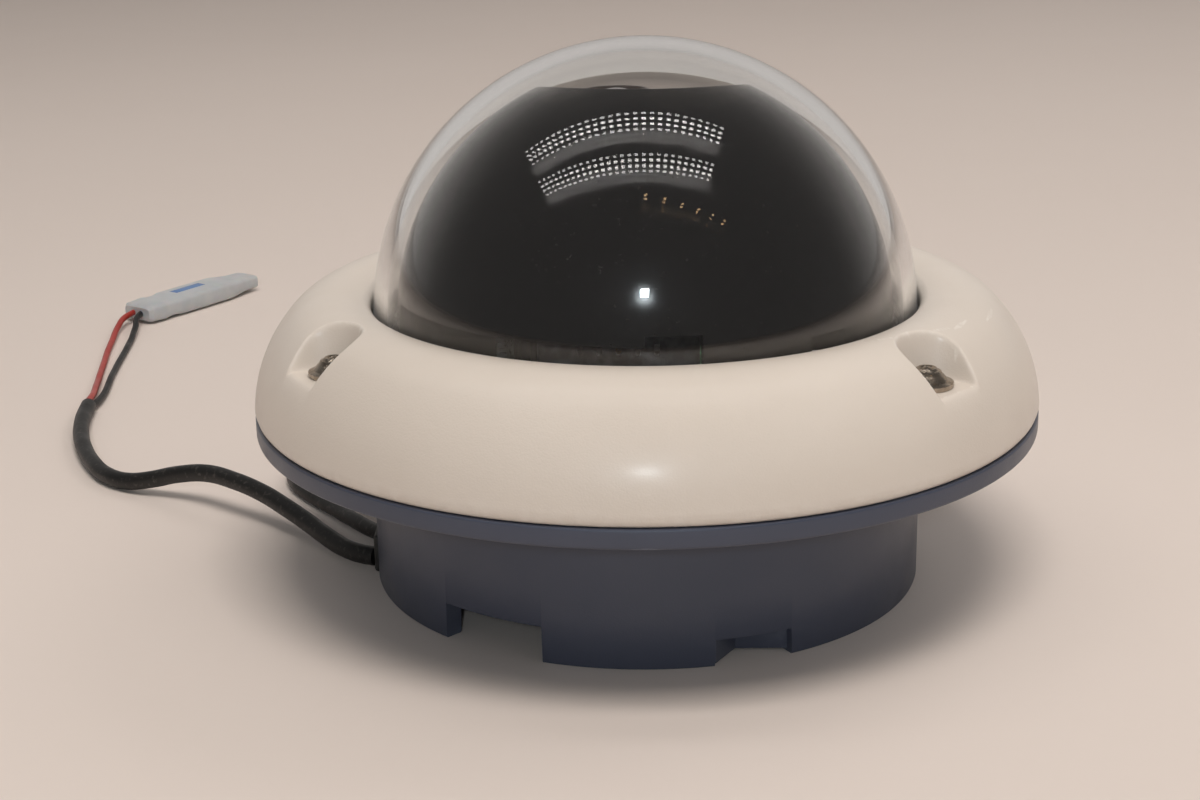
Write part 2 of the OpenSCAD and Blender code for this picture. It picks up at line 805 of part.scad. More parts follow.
module yoke_plate(side, lobe) {
    difference() {
        union() {
            translate([side > 0 ? arm_in : -arm_in - arm_t, 0, 0]) rotate([90, 0, 90])
                linear_extrude(arm_t) {
                    translate([-arm_w / 2, turn_top]) square([arm_w, axis_z - turn_top]);
                    translate([0, axis_z]) circle(r = arm_w / 2);
                    if (lobe) {
                        translate([tilt_motor_pos[0], axis_z + tilt_motor_pos[1]])
                            circle(r = tilt_lobe_r);
                        translate([tilt_motor_pos[0], axis_z + tilt_motor_pos[1] - tilt_lobe_r])
                            square([10, 2 * tilt_lobe_r]);
                    }
                }
            translate([side > 0 ? arm_in : -arm_in - foot_l, -arm_w / 2, turn_top])
                cube([foot_l, arm_w, foot_t]);
        }
        translate([0, 0, axis_z]) rod_along_x(bush_r, side > 0 ? 20 : -40, side > 0 ? 40 : -20);
        if (lobe)
            at_tilt_motor() rod_along_x(motor_shaft_r + 1, 20, 40);
        for (y = [-1, 1])
            translate([side * foot_x, y * foot_y, turn_top - 1]) cylinder(r = m25_hole_r, h = 5);
    }
}

module yoke_arm_left() {
    color(steel) yoke_plate(-1, false);
}

module yoke_arm_right() {
    color(steel) yoke_plate(1, true);
}

module yoke_screws() {
    color(steel)
    for (x = [-1, 1], y = [-1, 1])
        translate([x * foot_x, y * foot_y, turn_top + foot_t]) screw_down(4);
}

module tilt_bushes() {
    color(brass)
    for (s = [-1, 1])
        translate([0, 0, axis_z]) difference() {
            rod_along_x(bush_r, s > 0 ? arm_in : -arm_in - arm_t, s > 0 ? arm_in + arm_t : -arm_in);
            rod_along_x(trunnion_r + run_gap, -40, 40);
        }
}

// A wedge of the circle between two directions
module wedge(from, to, z0, z1) {
    far = 80;
    translate([0, 0, z0]) linear_extrude(z1 - z0)
        polygon([[0, 0], for (i = [0 : 4]) let (a = from + (to - from) * i / 4 - 90) far * [cos(a), sin(a)]]);
}

// Black shell that hides the works, open along the lens's path
module inner_liner() {
    color(glossy_black)
    difference() {
        union() {
            intersection() {
                translate([0, 0, axis_z]) sphere(r = liner_r);
                translate([-60, -60, axis_z]) cube([120, 120, 60]);
            }
            translate([0, 0, turn_top]) cylinder(r = liner_r, h = axis_z - turn_top);
        }
        difference() {
            union() {
                translate([0, 0, axis_z]) sphere(r = liner_r - liner_t);
                translate([0, 0, turn_top - 1]) cylinder(r = liner_r - liner_t, h = axis_z - turn_top + 1);
            }
            for (dir = liner_dirs)
                toward(dir) translate([liner_screw_r, 0, turn_top])
                    difference() {
                        union() {
                            cylinder(r = liner_boss_r, h = liner_boss_h);
                            translate([0, -liner_boss_r, 0]) cube([8, 2 * liner_boss_r, liner_boss_h]);
                        }
                        translate([0, 0, -1]) cylinder(r = m25_hole_r, h = liner_boss_h);
                    }
        }
        translate([0, slot_y, slot_foot_z]) cylinder(r = slot_w / 2, h = 60);
        translate([-slot_w / 2, slot_y, slot_foot_z]) cube([slot_w, 60, 60]);
        for (w = liner_windows) wedge(w[0], w[1], window_z, w[2]);
    }
}

module liner_screws() {
    color(steel)
    for (dir = liner_dirs)
        toward(dir) translate([liner_screw_r, 0, turn_z]) screw_up(7);
}

module tilt_motor() {
    color(steel)
    at_tilt_motor() difference() {
        rod_along_x(tilt_motor_r, arm_in + arm_t, arm_in + arm_t + tilt_motor_l);
        rod_along_x(motor_shaft_r + gap, arm_in, arm_in + arm_t + 5);
    }
}

module interface_board() {
    back_y = 23;
    board_w = 34;
    stand_h = 2;
    color(board_green) {
        translate([-board_w / 2, back_y, turn_top + stand_h]) cube([board_w, 17, board_t]);
        for (x = [-13, 13])
            translate([x, back_y + 8, turn_top]) cylinder(r = 2.5, h = stand_h + eps);
    }
}

// ---- drive pinions ----
module pan_pinion() {
    color("ivory") at_pan_motor() {
        translate([0, 0, turn_z - pan_gear_h + 0.2])
            linear_extrude(pan_gear_h - 0.6)
                polygon(gear_outline(pan_pinion_teeth, pan_module, pan_mesh_turn));
        translate([0, 0, chassis_z - 5]) cylinder(r = motor_shaft_r, h = turn_z - chassis_z + 2);
    }
}

module tilt_pinion() {
    color("ivory") at_tilt_motor() {
        translate([tilt_gear_x + 0.4, 0, 0]) rotate([90, 0, 90]) linear_extrude(tilt_gear_t - 0.5)
            polygon(gear_outline(tilt_pinion_teeth, tilt_module, tilt_mesh_turn));
        rod_along_x(motor_shaft_r, tilt_gear_x + 0.4, arm_in + arm_t + 4);
    }
}

// ---- tilt body ----
module tilt_cradle() {
    color(soft_black)
    translate([0, 0, axis_z]) {
        for (s = [-1, 1]) {
            translate([s > 0 ? cradle_w - cradle_t : -cradle_w, 0, 0]) rotate([90, 0, 90])
                linear_extrude(cradle_t) {
                    circle(r = 10);
                    translate([-10, -cradle_back]) square([20, cradle_back]);
                }
            rod_along_x(trunnion_r, s > 0 ? cradle_w - eps : -arm_in - arm_t,
                s > 0 ? arm_in + arm_t : -cradle_w + eps);
        }
        translate([-cradle_w, -10, -cradle_back]) cube([2 * cradle_w, 20, cradle_t]);
    }
}

module tilt_gear() {
    color("ivory")
    translate([tilt_gear_x, 0, axis_z]) rotate([90, 0, 90]) linear_extrude(tilt_gear_t)
        difference() {
            polygon(gear_outline(tilt_teeth, tilt_module));
            circle(r = trunnion_r);
            for (a = [0 : 60 : 300]) rotate(a) translate([9.5, 0]) circle(r = 2.6);
        }
}

module in_camera() {
    translate([lens_x, 0, axis_z]) children();
}

module camera_housing() {
    in_w = cam_w - 2 * cam_wall;
    in_d = cam_d - 2 * cam_wall;
    color([0.20, 0.21, 0.23])
    in_camera() difference() {
        translate([-cam_w / 2, -cam_d / 2, cam_back + cam_wall])
            cube([cam_w, cam_d, cam_front - cam_back - cam_wall]);
        translate([-in_w / 2, -in_d / 2, cam_back]) cube([in_w, in_d, cam_front - cam_back - cam_wall]);
        translate([0, 0, cam_front - 5]) cylinder(r = tube_r - bore_wall, h = 10);
    }
}

module camera_back_cover() {
    color([0.20, 0.21, 0.23])
    in_camera() translate([-cam_w / 2, -cam_d / 2, cam_back]) cube([cam_w, cam_d, cam_wall]);
}

module sensor_board() {
    in_w = cam_w - 2 * cam_wall;
    in_d = cam_d - 2 * cam_wall;
    color(board_green) in_camera() {
        translate([-in_w / 2, -in_d / 2, cam_back + cam_wall]) cube([in_w, in_d, board_gap]);
        translate([-4, -3.5, cam_back + cam_wall + board_gap - eps]) cube([8, 7, 1]);
    }
}

module lens_barrel() {
    color(soft_black)
    in_camera() difference() {
        union() {
            translate([0, 0, cam_front]) cylinder(r = tube_r, h = tube_top - cam_front);
            translate([0, 0, tube_top - eps]) cylinder(r = lens_tip_r, h = lens_reach - tube_top);
        }
        translate([0, 0, cam_front - 1]) cylinder(r = tube_r - bore_wall, h = tube_top - cam_front - 1);
        translate([0, 0, cam_front]) cylinder(r = lens_tip_r - bore_wall, h = 40);
    }
}

// Domed front glass, seated in the lens tip
module front_lens() {
    glass_r = lens_tip_r - bore_wall;
    cap_r = 9;
    top = lens_reach + 0.2;
    color([0.45, 0.35, 0.42, 0.6])
    in_camera() intersection() {
        translate([0, 0, top - 4]) cylinder(r = glass_r, h = 4);
        translate([0, 0, top - cap_r]) sphere(r = cap_r);
    }
}

module guide_rods() {
    color(steel)
    in_camera() for (s = [-1, 1])
        translate([s * rod_x, 0, cam_back + cam_wall + board_gap])
            cylinder(r = rod_r, h = cam_front - cam_back - 2 * cam_wall - board_gap);
}

// A little stepper at the front end of each drive screw
module lens_motor(y) {
    color(steel) in_camera() translate([0, y, lens_motor_z]) difference() {
        cylinder(r = lens_motor_r, h = cam_front - cam_wall - lens_motor_z);
        translate([0, 0, -1]) cylinder(r = drive_screw_r + gap, h = 5);
    }
}

module zoom_motor() {
    lens_motor(screw_y);
}

module focus_motor() {
    lens_motor(-screw_y);
}

// A lens carrier on the two guide rods, with a nut for its own drive screw
module lens_carriage(z, h, y, glass_r) {
    in_camera() translate([0, 0, z]) difference() {
        union() {
            cylinder(r = carriage_r, h = h);
            translate([-rod_x - 2.5, -2.5, 0]) cube([2 * rod_x + 5, 5, h]);
            translate([0, y, 0]) cylinder(r = 2.4, h = h);
            translate([-1.6, min(y, 0), 0]) cube([3.2, abs(y), h]);
        }
        for (s = [-1, 1])
            translate([s * rod_x, 0, -1]) cylinder(r = rod_r + 0.1, h = h + 2);
        translate([0, y, -1]) cylinder(r = drive_screw_r + gap, h = h + 2);
        translate([0, 0, -1]) cylinder(r = glass_r, h = 1.5);
        translate([0, 0, h - 0.5]) cylinder(r = glass_r, h = 1.5);
    }
}

module zoom_carriage() {
    color([0.35, 0.35, 0.40]) lens_carriage(zoom_z, zoom_h, screw_y, 5);
}

module focus_carriage() {
    color([0.35, 0.35, 0.40]) lens_carriage(focus_z, focus_h, -screw_y, 4.5);
}

module drive_screw(y) {
    color(brass) in_camera() translate([0, y, screw_foot_z])
        cylinder(r = drive_screw_r, h = lens_motor_z + 3 - screw_foot_z);
}

module zoom_screw() {
    drive_screw(screw_y);
}

module focus_screw() {
    drive_screw(-screw_y);
}

// Sliding glass plate between the sensor and the focus lens
module ir_cut_filter() {
    filter_w = 12;
    filter_d = 7;
    color([0.35, 0.55, 0.60])
    in_camera() translate([-filter_w / 2, -filter_d / 2, filter_z]) cube([filter_w, filter_d, filter_t]);
}

base_housing();
floor_gasket();
cover_gasket();
enclosure_cover();
cover_screws();
screw_washers();
dome_window();
dome_gasket();
dome_retainer();
retainer_screws();
chassis_plate();
chassis_screws();
main_board();
board_chips();
board_connectors();
board_screws();
pan_motor();
motor_screws();
slip_ring_stator();
bearing_outer_race();
cable_grommet();
power_cable();
red_lead();
black_lead();
power_plug();
plug_contacts();
video_cable();
video_plug();
video_plug_pin();
pan_pinion();
turntable();
pan_gear();
bearing_inner_race();
bearing_balls();
slip_ring_rotor();
yoke_arm_left();
yoke_arm_right();
yoke_screws();
tilt_bushes();
inner_liner();
liner_screws();
tilt_motor();
interface_board();
tilt_pinion();
tilt_cradle();
tilt_gear();
camera_housing();
camera_back_cover();
sensor_board();
lens_barrel();
front_lens();
guide_rods();
zoom_motor();
focus_motor();
zoom_carriage();
zoom_screw();
focus_carriage();
focus_screw();
ir_cut_filter();
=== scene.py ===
import math

import bmesh
import bpy
import numpy as np
from mathutils import Matrix, Vector


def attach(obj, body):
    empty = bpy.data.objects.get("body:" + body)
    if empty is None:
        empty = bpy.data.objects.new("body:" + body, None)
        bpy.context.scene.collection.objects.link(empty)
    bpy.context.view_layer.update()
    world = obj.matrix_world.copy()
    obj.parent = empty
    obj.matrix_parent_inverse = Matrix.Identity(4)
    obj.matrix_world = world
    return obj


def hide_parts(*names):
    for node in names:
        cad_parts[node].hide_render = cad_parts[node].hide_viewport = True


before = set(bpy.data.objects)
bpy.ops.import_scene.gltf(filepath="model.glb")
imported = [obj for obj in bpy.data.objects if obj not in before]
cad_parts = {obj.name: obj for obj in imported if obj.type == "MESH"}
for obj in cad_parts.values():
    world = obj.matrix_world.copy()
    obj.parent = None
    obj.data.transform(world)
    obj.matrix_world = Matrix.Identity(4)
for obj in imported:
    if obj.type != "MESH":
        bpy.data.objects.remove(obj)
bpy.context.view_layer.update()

MM = 0.001
TAU = 2 * math.pi
collection = bpy.context.scene.collection


# ---------------------------------------------------------------- camera
EYE = Vector((0.0, -0.4355, 0.1732))
RIGHT = Vector((0.99973, 0.01808, -0.01428))
UP = Vector((0.00822, 0.29918, 0.95416))
FORWARD = Vector((-0.02153, 0.95403, -0.29895))
camera_data = bpy.data.cameras.new("camera")
camera_data.sensor_width = 36.0
camera_data.lens = 63.36
camera_data.clip_start = 0.01
camera_data.clip_end = 20.0
camera = bpy.data.objects.new("camera", camera_data)
collection.objects.link(camera)
axes = Matrix((RIGHT, UP, -FORWARD)).transposed()
camera.matrix_world = Matrix.Translation(EYE) @ axes.to_4x4()
bpy.context.scene.camera = camera


# ---------------------------------------------------------------- material kit
class Nodes:
    """A material's node tree, with short calls for what the finishes below share."""

    def __init__(self, name):
        self.material = bpy.data.materials.new(name)
        self.material.use_nodes = True
        self.tree = self.material.node_tree
        self.shader = self.tree.nodes["Principled BSDF"]
        self.output = self.tree.nodes["Material Output"]
        self.position = self.add("ShaderNodeTexCoord").outputs["Object"]

    def add(self, kind, **values):
        node = self.tree.nodes.new(kind)
        for key, value in values.items():
            setattr(node, key, value)
        return node

    def link(self, source, target):
        self.tree.links.new(source, target)

    def noise(self, scale, detail=3.0, rough=0.5, squash=None):
        node = self.add("ShaderNodeTexNoise")
        node.inputs["Scale"].default_value = scale
        node.inputs["Detail"].default_value = detail
        node.inputs["Roughness"].default_value = rough
        source = self.position
        if squash:
            mapping = self.add("ShaderNodeMapping")
            mapping.inputs["Scale"].default_value = squash
            self.link(source, mapping.inputs["Vector"])
            source = mapping.outputs["Vector"]
        self.link(source, node.inputs["Vector"])
        return node.outputs["Fac"]

    def cells(self, scale, feature="F1"):
        node = self.add("ShaderNodeTexVoronoi", feature=feature)
        node.inputs["Scale"].default_value = scale
        self.link(self.position, node.inputs["Vector"])
        return node.outputs["Distance"]

    def ramp(self, value, low, high, out_low=0.0, out_high=1.0):
        node = self.add("ShaderNodeMapRange", clamp=True)
        for key, number in (("From Min", low), ("From Max", high),
                            ("To Min", out_low), ("To Max", out_high)):
            node.inputs[key].default_value = number
        self.link(value, node.inputs["Value"])
        return node.outputs["Result"]

    def mix(self, factor, first, second):
        """Colour mix; first is a colour or a socket."""
        node = self.add("ShaderNodeMix", data_type="RGBA")
        for socket, value in ((node.inputs[6], first), (node.inputs[7], second)):
            if hasattr(value, "is_linked"):
                self.link(value, socket)
            else:
                socket.default_value = (*value, 1.0)
        if hasattr(factor, "is_linked"):
            self.link(factor, node.inputs[0])
        else:
            node.inputs[0].default_value = factor
        return node.outputs[2]

    def math(self, operation, first, second):
        node = self.add("ShaderNodeMath", operation=operation)
        for socket, value in zip(node.inputs, (first, second)):
            if hasattr(value, "is_linked"):
                self.link(value, socket)
            else:
                socket.default_value = value
        return node.outputs[0]

    def edges(self, low=0.505, high=0.56):
        """High on convex edges."""
        return self.ramp(self.add("ShaderNodeNewGeometry").outputs["Pointiness"], low, high)

    def bump(self, height, strength, distance, under=None):
        node = self.add("ShaderNodeBump")
        node.inputs["Strength"].default_value = strength
        node.inputs["Distance"].default_value = distance
        self.link(height, node.inputs["Height"])
        if under is not None:
            self.link(under, node.inputs["Normal"])
        self.link(node.outputs["Normal"], self.shader.inputs["Normal"])
        return node.outputs["Normal"]

    def colour(self, source):
        self.link(source, self.shader.inputs["Base Color"])

    def roughness(self, source):
        self.link(source, self.shader.inputs["Roughness"])

    def fixed(self, **values):
        for key, value in values.items():
            self.shader.inputs[key.replace("_", " ")].default_value = value
        return self


def painted(name, colour, shade, edge, rough=(0.36, 0.5), grain=2600.0, depth=0.00012, worn=(0.505, 0.56),
            coat=(0.12, 0.35)):
    """Powder coat: fine orange peel, soft cloudy shade, edges rubbed lighter."""
    n = Nodes(name)
    cloud = n.noise(26.0, 4.0)
    base = n.mix(n.ramp(cloud, 0.35, 0.7), colour, shade)
    rubbed = n.math("MULTIPLY", n.edges(*worn), n.ramp(n.noise(420.0, 2.0), 0.4, 0.62, 0.25, 1.0))
    n.colour(n.mix(rubbed, base, edge))
    n.roughness(n.ramp(n.noise(90.0, 5.0), 0.3, 0.7, *rough))
    peel = n.bump(n.noise(grain, 2.0), 0.35, depth)
    n.bump(n.noise(300.0, 2.0), 0.12, 0.0003, peel)
    n.fixed(Coat_Weight=coat[0], Coat_Roughness=coat[1])
    return n


def plastic(name, colour, shade, rough=(0.35, 0.5), grain=1500.0, strength=0.15):
    n = Nodes(name)
    n.colour(n.mix(n.ramp(n.noise(60.0, 4.0), 0.35, 0.7), colour, shade))
    n.roughness(n.ramp(n.noise(200.0, 4.0), 0.3, 0.7, *rough))
    n.bump(n.noise(grain, 2.0), strength, 0.0001)
    return n


def metal(name, colour, shade, rough=(0.22, 0.4), squash=(1.0, 1.0, 14.0)):
    """Machined or plated metal with fine drawn lines."""
    n = Nodes(name)
    lines = n.noise(700.0, 4.0, squash=squash)
    n.colour(n.mix(n.ramp(lines, 0.3, 0.7), colour, shade))
    n.roughness(n.ramp(n.noise(350.0, 4.0, squash=squash), 0.3, 0.7, *rough))
    n.bump(lines, 0.12, 0.00006)
    n.fixed(Metallic=1.0)
    return n


def rubber(name, colour, shade, rough=(0.45, 0.62)):
    n = Nodes(name)
    dust = n.ramp(n.noise(900.0, 5.0), 0.56, 0.72)
    base = n.mix(n.ramp(n.noise(45.0, 3.0), 0.35, 0.7), colour, shade)
    n.colour(n.mix(n.math("MULTIPLY", dust, 0.25), base, (0.20, 0.18, 0.16)))
    n.roughness(n.ramp(n.noise(160.0, 4.0), 0.3, 0.7, *rough))
    n.bump(n.noise(2200.0, 2.0), 0.2, 0.00008)
    return n


def lets_lamps_through(n, tint):
    """Shadow rays pass the glass, so that what stands behind it is lit."""
    path = n.add("ShaderNodeLightPath")
    clear = n.add("ShaderNodeBsdfTransparent")
    clear.inputs["Color"].default_value = (*tint, 1.0)
    mix = n.add("ShaderNodeMixShader")
    n.link(path.outputs["Is Shadow Ray"], mix.inputs[0])
    n.link(n.shader.outputs[0], mix.inputs[1])
    n.link(clear.outputs[0], mix.inputs[2])
    n.link(mix.outputs[0], n.output.inputs["Surface"])


# ---------------------------------------------------------------- finishes
cover_paint = painted("cover_paint", (0.74, 0.665, 0.59), (0.71, 0.635, 0.56), (0.82, 0.76, 0.69),
                      coat=(0.35, 0.22))
base_paint = painted("base_paint", (0.060, 0.070, 0.105), (0.054, 0.064, 0.096), (0.15, 0.17, 0.22),
                     rough=(0.34, 0.44), grain=3200.0, depth=0.00008, worn=(0.56, 0.7))
camera_paint = painted("camera_paint", (0.045, 0.047, 0.055), (0.033, 0.035, 0.04), (0.14, 0.14, 0.15))

liner_black = Nodes("liner_black")
liner_black.colour(liner_black.mix(
    liner_black.ramp(liner_black.noise(1400.0, 4.0), 0.62, 0.72, 0.0, 0.35),
    (0.0035, 0.0032, 0.0034), (0.05, 0.045, 0.04)))
liner_black.roughness(liner_black.ramp(liner_black.noise(70.0, 5.0), 0.3, 0.7, 0.07, 0.16))
liner_black.bump(liner_black.noise(35.0, 2.0), 0.05, 0.0004)

unit_black = plastic("unit_black", (0.012, 0.012, 0.014), (0.02, 0.02, 0.022), (0.4, 0.6), 1800.0, 0.25)
lens_black = plastic("lens_black", (0.034, 0.024, 0.020), (0.05, 0.034, 0.028), (0.3, 0.45), 1500.0, 0.2)
gear_ivory = plastic("gear_ivory", (0.72, 0.68, 0.56), (0.66, 0.61, 0.49), (0.3, 0.42))
socket_ivory = plastic("socket_ivory", (0.74, 0.70, 0.60), (0.68, 0.64, 0.53), (0.35, 0.5))
chip_black = plastic("chip_black", (0.015, 0.015, 0.016), (0.028, 0.028, 0.03), (0.45, 0.6))
slip_ring_black = plastic("slip_ring_black", (0.01, 0.01, 0.012), (0.02, 0.02, 0.022), (0.2, 0.3))
carriage_grey = plastic("carriage_grey", (0.07, 0.07, 0.085), (0.09, 0.09, 0.105), (0.4, 0.55))
gasket_rubber = rubber("gasket_rubber", (0.012, 0.012, 0.012), (0.022, 0.021, 0.02))
cable_sheath = rubber("cable_sheath", (0.006, 0.006, 0.006), (0.011, 0.010, 0.009), (0.42, 0.55))
red_sheath = plastic("red_sheath", (0.42, 0.035, 0.022), (0.34, 0.026, 0.016), (0.32, 0.45))
steel = metal("steel", (0.62, 0.62, 0.62), (0.52, 0.52, 0.53))
screw_steel = metal("screw_steel", (0.50, 0.44, 0.37), (0.30, 0.25, 0.20), (0.2, 0.34), (1.0, 1.0, 1.0))
ground_steel = metal("ground_steel", (0.70, 0.70, 0.71), (0.62, 0.62, 0.63), (0.08, 0.18))
brass = metal("brass", (0.62, 0.43, 0.16), (0.54, 0.36, 0.12), (0.2, 0.34))
nickel = metal("nickel", (0.60, 0.59, 0.56), (0.52, 0.50, 0.47), (0.16, 0.28), (14.0, 1.0, 1.0))

board_green = Nodes("board_green")
tracks = board_green.ramp(board_green.cells(420.0, "DISTANCE_TO_EDGE"), 0.06, 0.1)
board_green.colour(board_green.mix(tracks, (0.03, 0.16, 0.07), (0.012, 0.085, 0.038)))
board_green.roughness(board_green.ramp(board_green.noise(300.0), 0.3, 0.7, 0.25, 0.4))
board_green.bump(tracks, 0.2, 0.00006)

dome_clear = Nodes("dome_clear")
dome_clear.colour(dome_clear.mix(
    dome_clear.ramp(dome_clear.noise(900.0, 4.0), 0.6, 0.75, 0.0, 0.3),
    (0.985, 0.985, 0.98), (0.93, 0.92, 0.90)))
dome_clear.roughness(dome_clear.ramp(dome_clear.noise(60.0, 5.0), 0.35, 0.7, 0.0, 0.03))
dome_clear.fixed(Transmission_Weight=1.0, IOR=1.5, Sheen_Weight=0.1, Sheen_Roughness=0.3)
lets_lamps_through(dome_clear, (0.95, 0.95, 0.945))

lens_glass = Nodes("lens_glass")
lens_glass.colour(lens_glass.mix(
    lens_glass.ramp(lens_glass.noise(500.0), 0.5, 0.7, 0.0, 0.4), (0.05, 0.02, 0.035), (0.03, 0.03, 0.05)))
lens_glass.roughness(lens_glass.ramp(lens_glass.noise(200.0), 0.3, 0.7, 0.015, 0.04))
lens_glass.fixed(Coat_Weight=1.0, Coat_Roughness=0.02, IOR=1.7)

filter_glass = Nodes("filter_glass")
filter_glass.colour(filter_glass.mix(
    filter_glass.ramp(filter_glass.noise(300.0), 0.4, 0.7), (0.30, 0.62, 0.68), (0.24, 0.55, 0.62)))
filter_glass.roughness(filter_glass.ramp(filter_glass.noise(250.0), 0.3, 0.7, 0.02, 0.06))
filter_glass.fixed(Transmission_Weight=1.0, IOR=1.5)

# Milky nylon of the power plug
plug_nylon = Nodes("plug_nylon")
plug_nylon.colour(plug_nylon.mix(
    plug_nylon.ramp(plug_nylon.noise(220.0, 3.0), 0.35, 0.7), (0.66, 0.68, 0.69), (0.58, 0.61, 0.63)))
plug_nylon.roughness(plug_nylon.ramp(plug_nylon.noise(200.0), 0.3, 0.7, 0.3, 0.42))
plug_nylon.bump(plug_nylon.noise(400.0, 2.0), 0.06, 0.0001)
plug_nylon.fixed(Transmission_Weight=0.25, Subsurface_Weight=0.2, Subsurface_Scale=0.003)

stripe_blue = plastic("stripe_blue", (0.10, 0.20, 0.42), (0.13, 0.24, 0.47), (0.4, 0.5))


# ---------------------------------------------------------------- mesh kit
def mesh_object(name, verts, faces, finish, sharp=32.0):
    """A closed mesh from millimetre points, smooth but for edges over the sharp angle."""
    mesh = bpy.data.meshes.new(name)
    mesh.from_pydata([tuple(v) for v in np.asarray(verts, float) * MM], [], faces)
    bm = bmesh.new()
    bm.from_mesh(mesh)
    bmesh.ops.remove_doubles(bm, verts=bm.verts, dist=1e-7)
    bmesh.ops.dissolve_degenerate(bm, edges=bm.edges, dist=1e-8)
    bmesh.ops.recalc_face_normals(bm, faces=bm.faces)
    bm.to_mesh(mesh)
    bm.free()
    return finish_mesh(name, mesh, finish, sharp)


def finish_mesh(name, mesh, finish, sharp=32.0):
    mesh.shade_smooth()
    mesh.set_sharp_from_angle(angle=math.radians(sharp))
    mesh.materials.clear()
    mesh.materials.append(finish.material)
    piece = bpy.data.objects.new(name, mesh)
    collection.objects.link(piece)
    return piece


def arc(centre, radius, start, end, steps):
    """Points in the profile plane; angles in degrees."""
    return [(centre[0] + radius * math.cos(math.radians(a)), centre[1] + radius * math.sin(math.radians(a)))
            for a in np.linspace(start, end, steps + 1)]


def rounded(points, radius, steps=4):
    """A closed outline with its corners rounded; radius is a number or one for each corner."""
    out = []
    count = len(points)
    for i, p in enumerate(points):
        r = radius[i] if isinstance(radius, (list, tuple)) else radius
        p, before, after = (Vector(points[j % count]) for j in (i, i - 1, i + 1))
        if r <= 0:
            out.append(tuple(p))
            continue
        u, v = (before - p).normalized(), (after - p).normalized()
        half = u.angle(v) / 2
        cut = min(r / math.tan(half), (before - p).length * 0.49, (after - p).length * 0.49)
        r = cut * math.tan(half)
        centre = p + (u + v).normalized() * (r / math.sin(half))
        start, end = p + u * cut - centre, p + v * cut - centre
        for s in range(steps + 1):
            step = start.slerp(end, s / steps)
            out.append(tuple(centre + step))
    return out


def lathe(name, profile, finish, segments=192, sharp=32.0, place=None):
    """A closed profile of (radius, height) turned about Z; points at radius 0 merge into one."""
    verts, faces = [], []
    count = len(profile)
    for i in range(segments):
        a = TAU * i / segments
        for r, z in profile:
            p = Vector((r * math.cos(a), r * math.sin(a), z))
            verts.append(place @ p if place else p)
    for i in range(segments):
        j = (i + 1) % segments
        for k in range(count):
            m = (k + 1) % count
            if profile[k][0] <= 1e-6 and profile[m][0] <= 1e-6:
                continue
            faces.append((i * count + k, j * count + k, j * count + m, i * count + m))
    return mesh_object(name, verts, faces, finish, sharp)


def toward(direction):
    """Turns +X to a direction counted from the front towards +X, in degrees."""
    return Matrix.Rotation(math.radians(direction - 90), 4, "Z")


def at(x, y, z):
    return Matrix.Translation((x, y, z))


def along_x(place):
    """Stands a lathe's axis along +X."""
    return place @ Matrix.Rotation(math.radians(90), 4, "Y")


def box_points(size, radius, steps=3):
    """A closed rounded box: (verts, faces), its foot centred on the origin."""
    bm = bmesh.new()
    bmesh.ops.create_cube(bm, size=1.0)
    bmesh.ops.scale(bm, vec=size, verts=bm.verts)
    bmesh.ops.translate(bm, vec=(0, 0, size[2] / 2), verts=bm.verts)
    bmesh.ops.bevel(bm, geom=list(bm.edges), offset=radius, segments=steps, profile=0.5, affect="EDGES")
    return bm


def from_bm(name, parts, finish, sharp=32.0):
    """One piece from several (bmesh, matrix) parts in millimetres."""
    verts, faces = [], []
    for bm, place in parts:
        start = len(verts)
        bm.verts.ensure_lookup_table()
        verts += [place @ v.co for v in bm.verts]
        faces += [tuple(start + v.index for v in f.verts) for f in bm.faces]
        bm.free()
    return mesh_object(name, verts, faces, finish, sharp)


def lathe_bm(profile, segments=48):
    bm = bmesh.new()
    rings = []
    for i in range(segments):
        a = TAU * i / segments
        rings.append([bm.verts.new((r * math.cos(a), r * math.sin(a), z)) for r, z in profile])
    count = len(profile)
    for i in range(segments):
        j = (i + 1) % segments
        for k in range(count):
            m = (k + 1) % count
            if profile[k][0] <= 1e-6 and profile[m][0] <= 1e-6:
                continue
            bm.faces.new((rings[i][k], rings[j][k], rings[j][m], rings[i][m]))
    bmesh.ops.remove_doubles(bm, verts=bm.verts, dist=1e-5)
    bm.verts.index_update()
    return bm


def cut(piece, cutters):
    """Cuts solids (objects) out of a piece and drops them."""
    for cutter in cutters:
        modifier = piece.modifiers.new("cut", "BOOLEAN")
        modifier.operation = "DIFFERENCE"
        modifier.solver = "EXACT"
        modifier.object = cutter
    graph = bpy.context.evaluated_depsgraph_get()
    mesh = bpy.data.meshes.new_from_object(piece.evaluated_get(graph))
    piece.modifiers.clear()
    old = piece.data
    piece.data = mesh
    bpy.data.meshes.remove(old)
    for cutter in cutters:
        bpy.data.objects.remove(cutter)
    return piece


def settle(piece, body, slot, *nodes):
    """The piece rides on its body and stands for its CAD nodes; slot is not used."""
    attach(piece, body)
    if nodes:
        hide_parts(*nodes)
    return piece


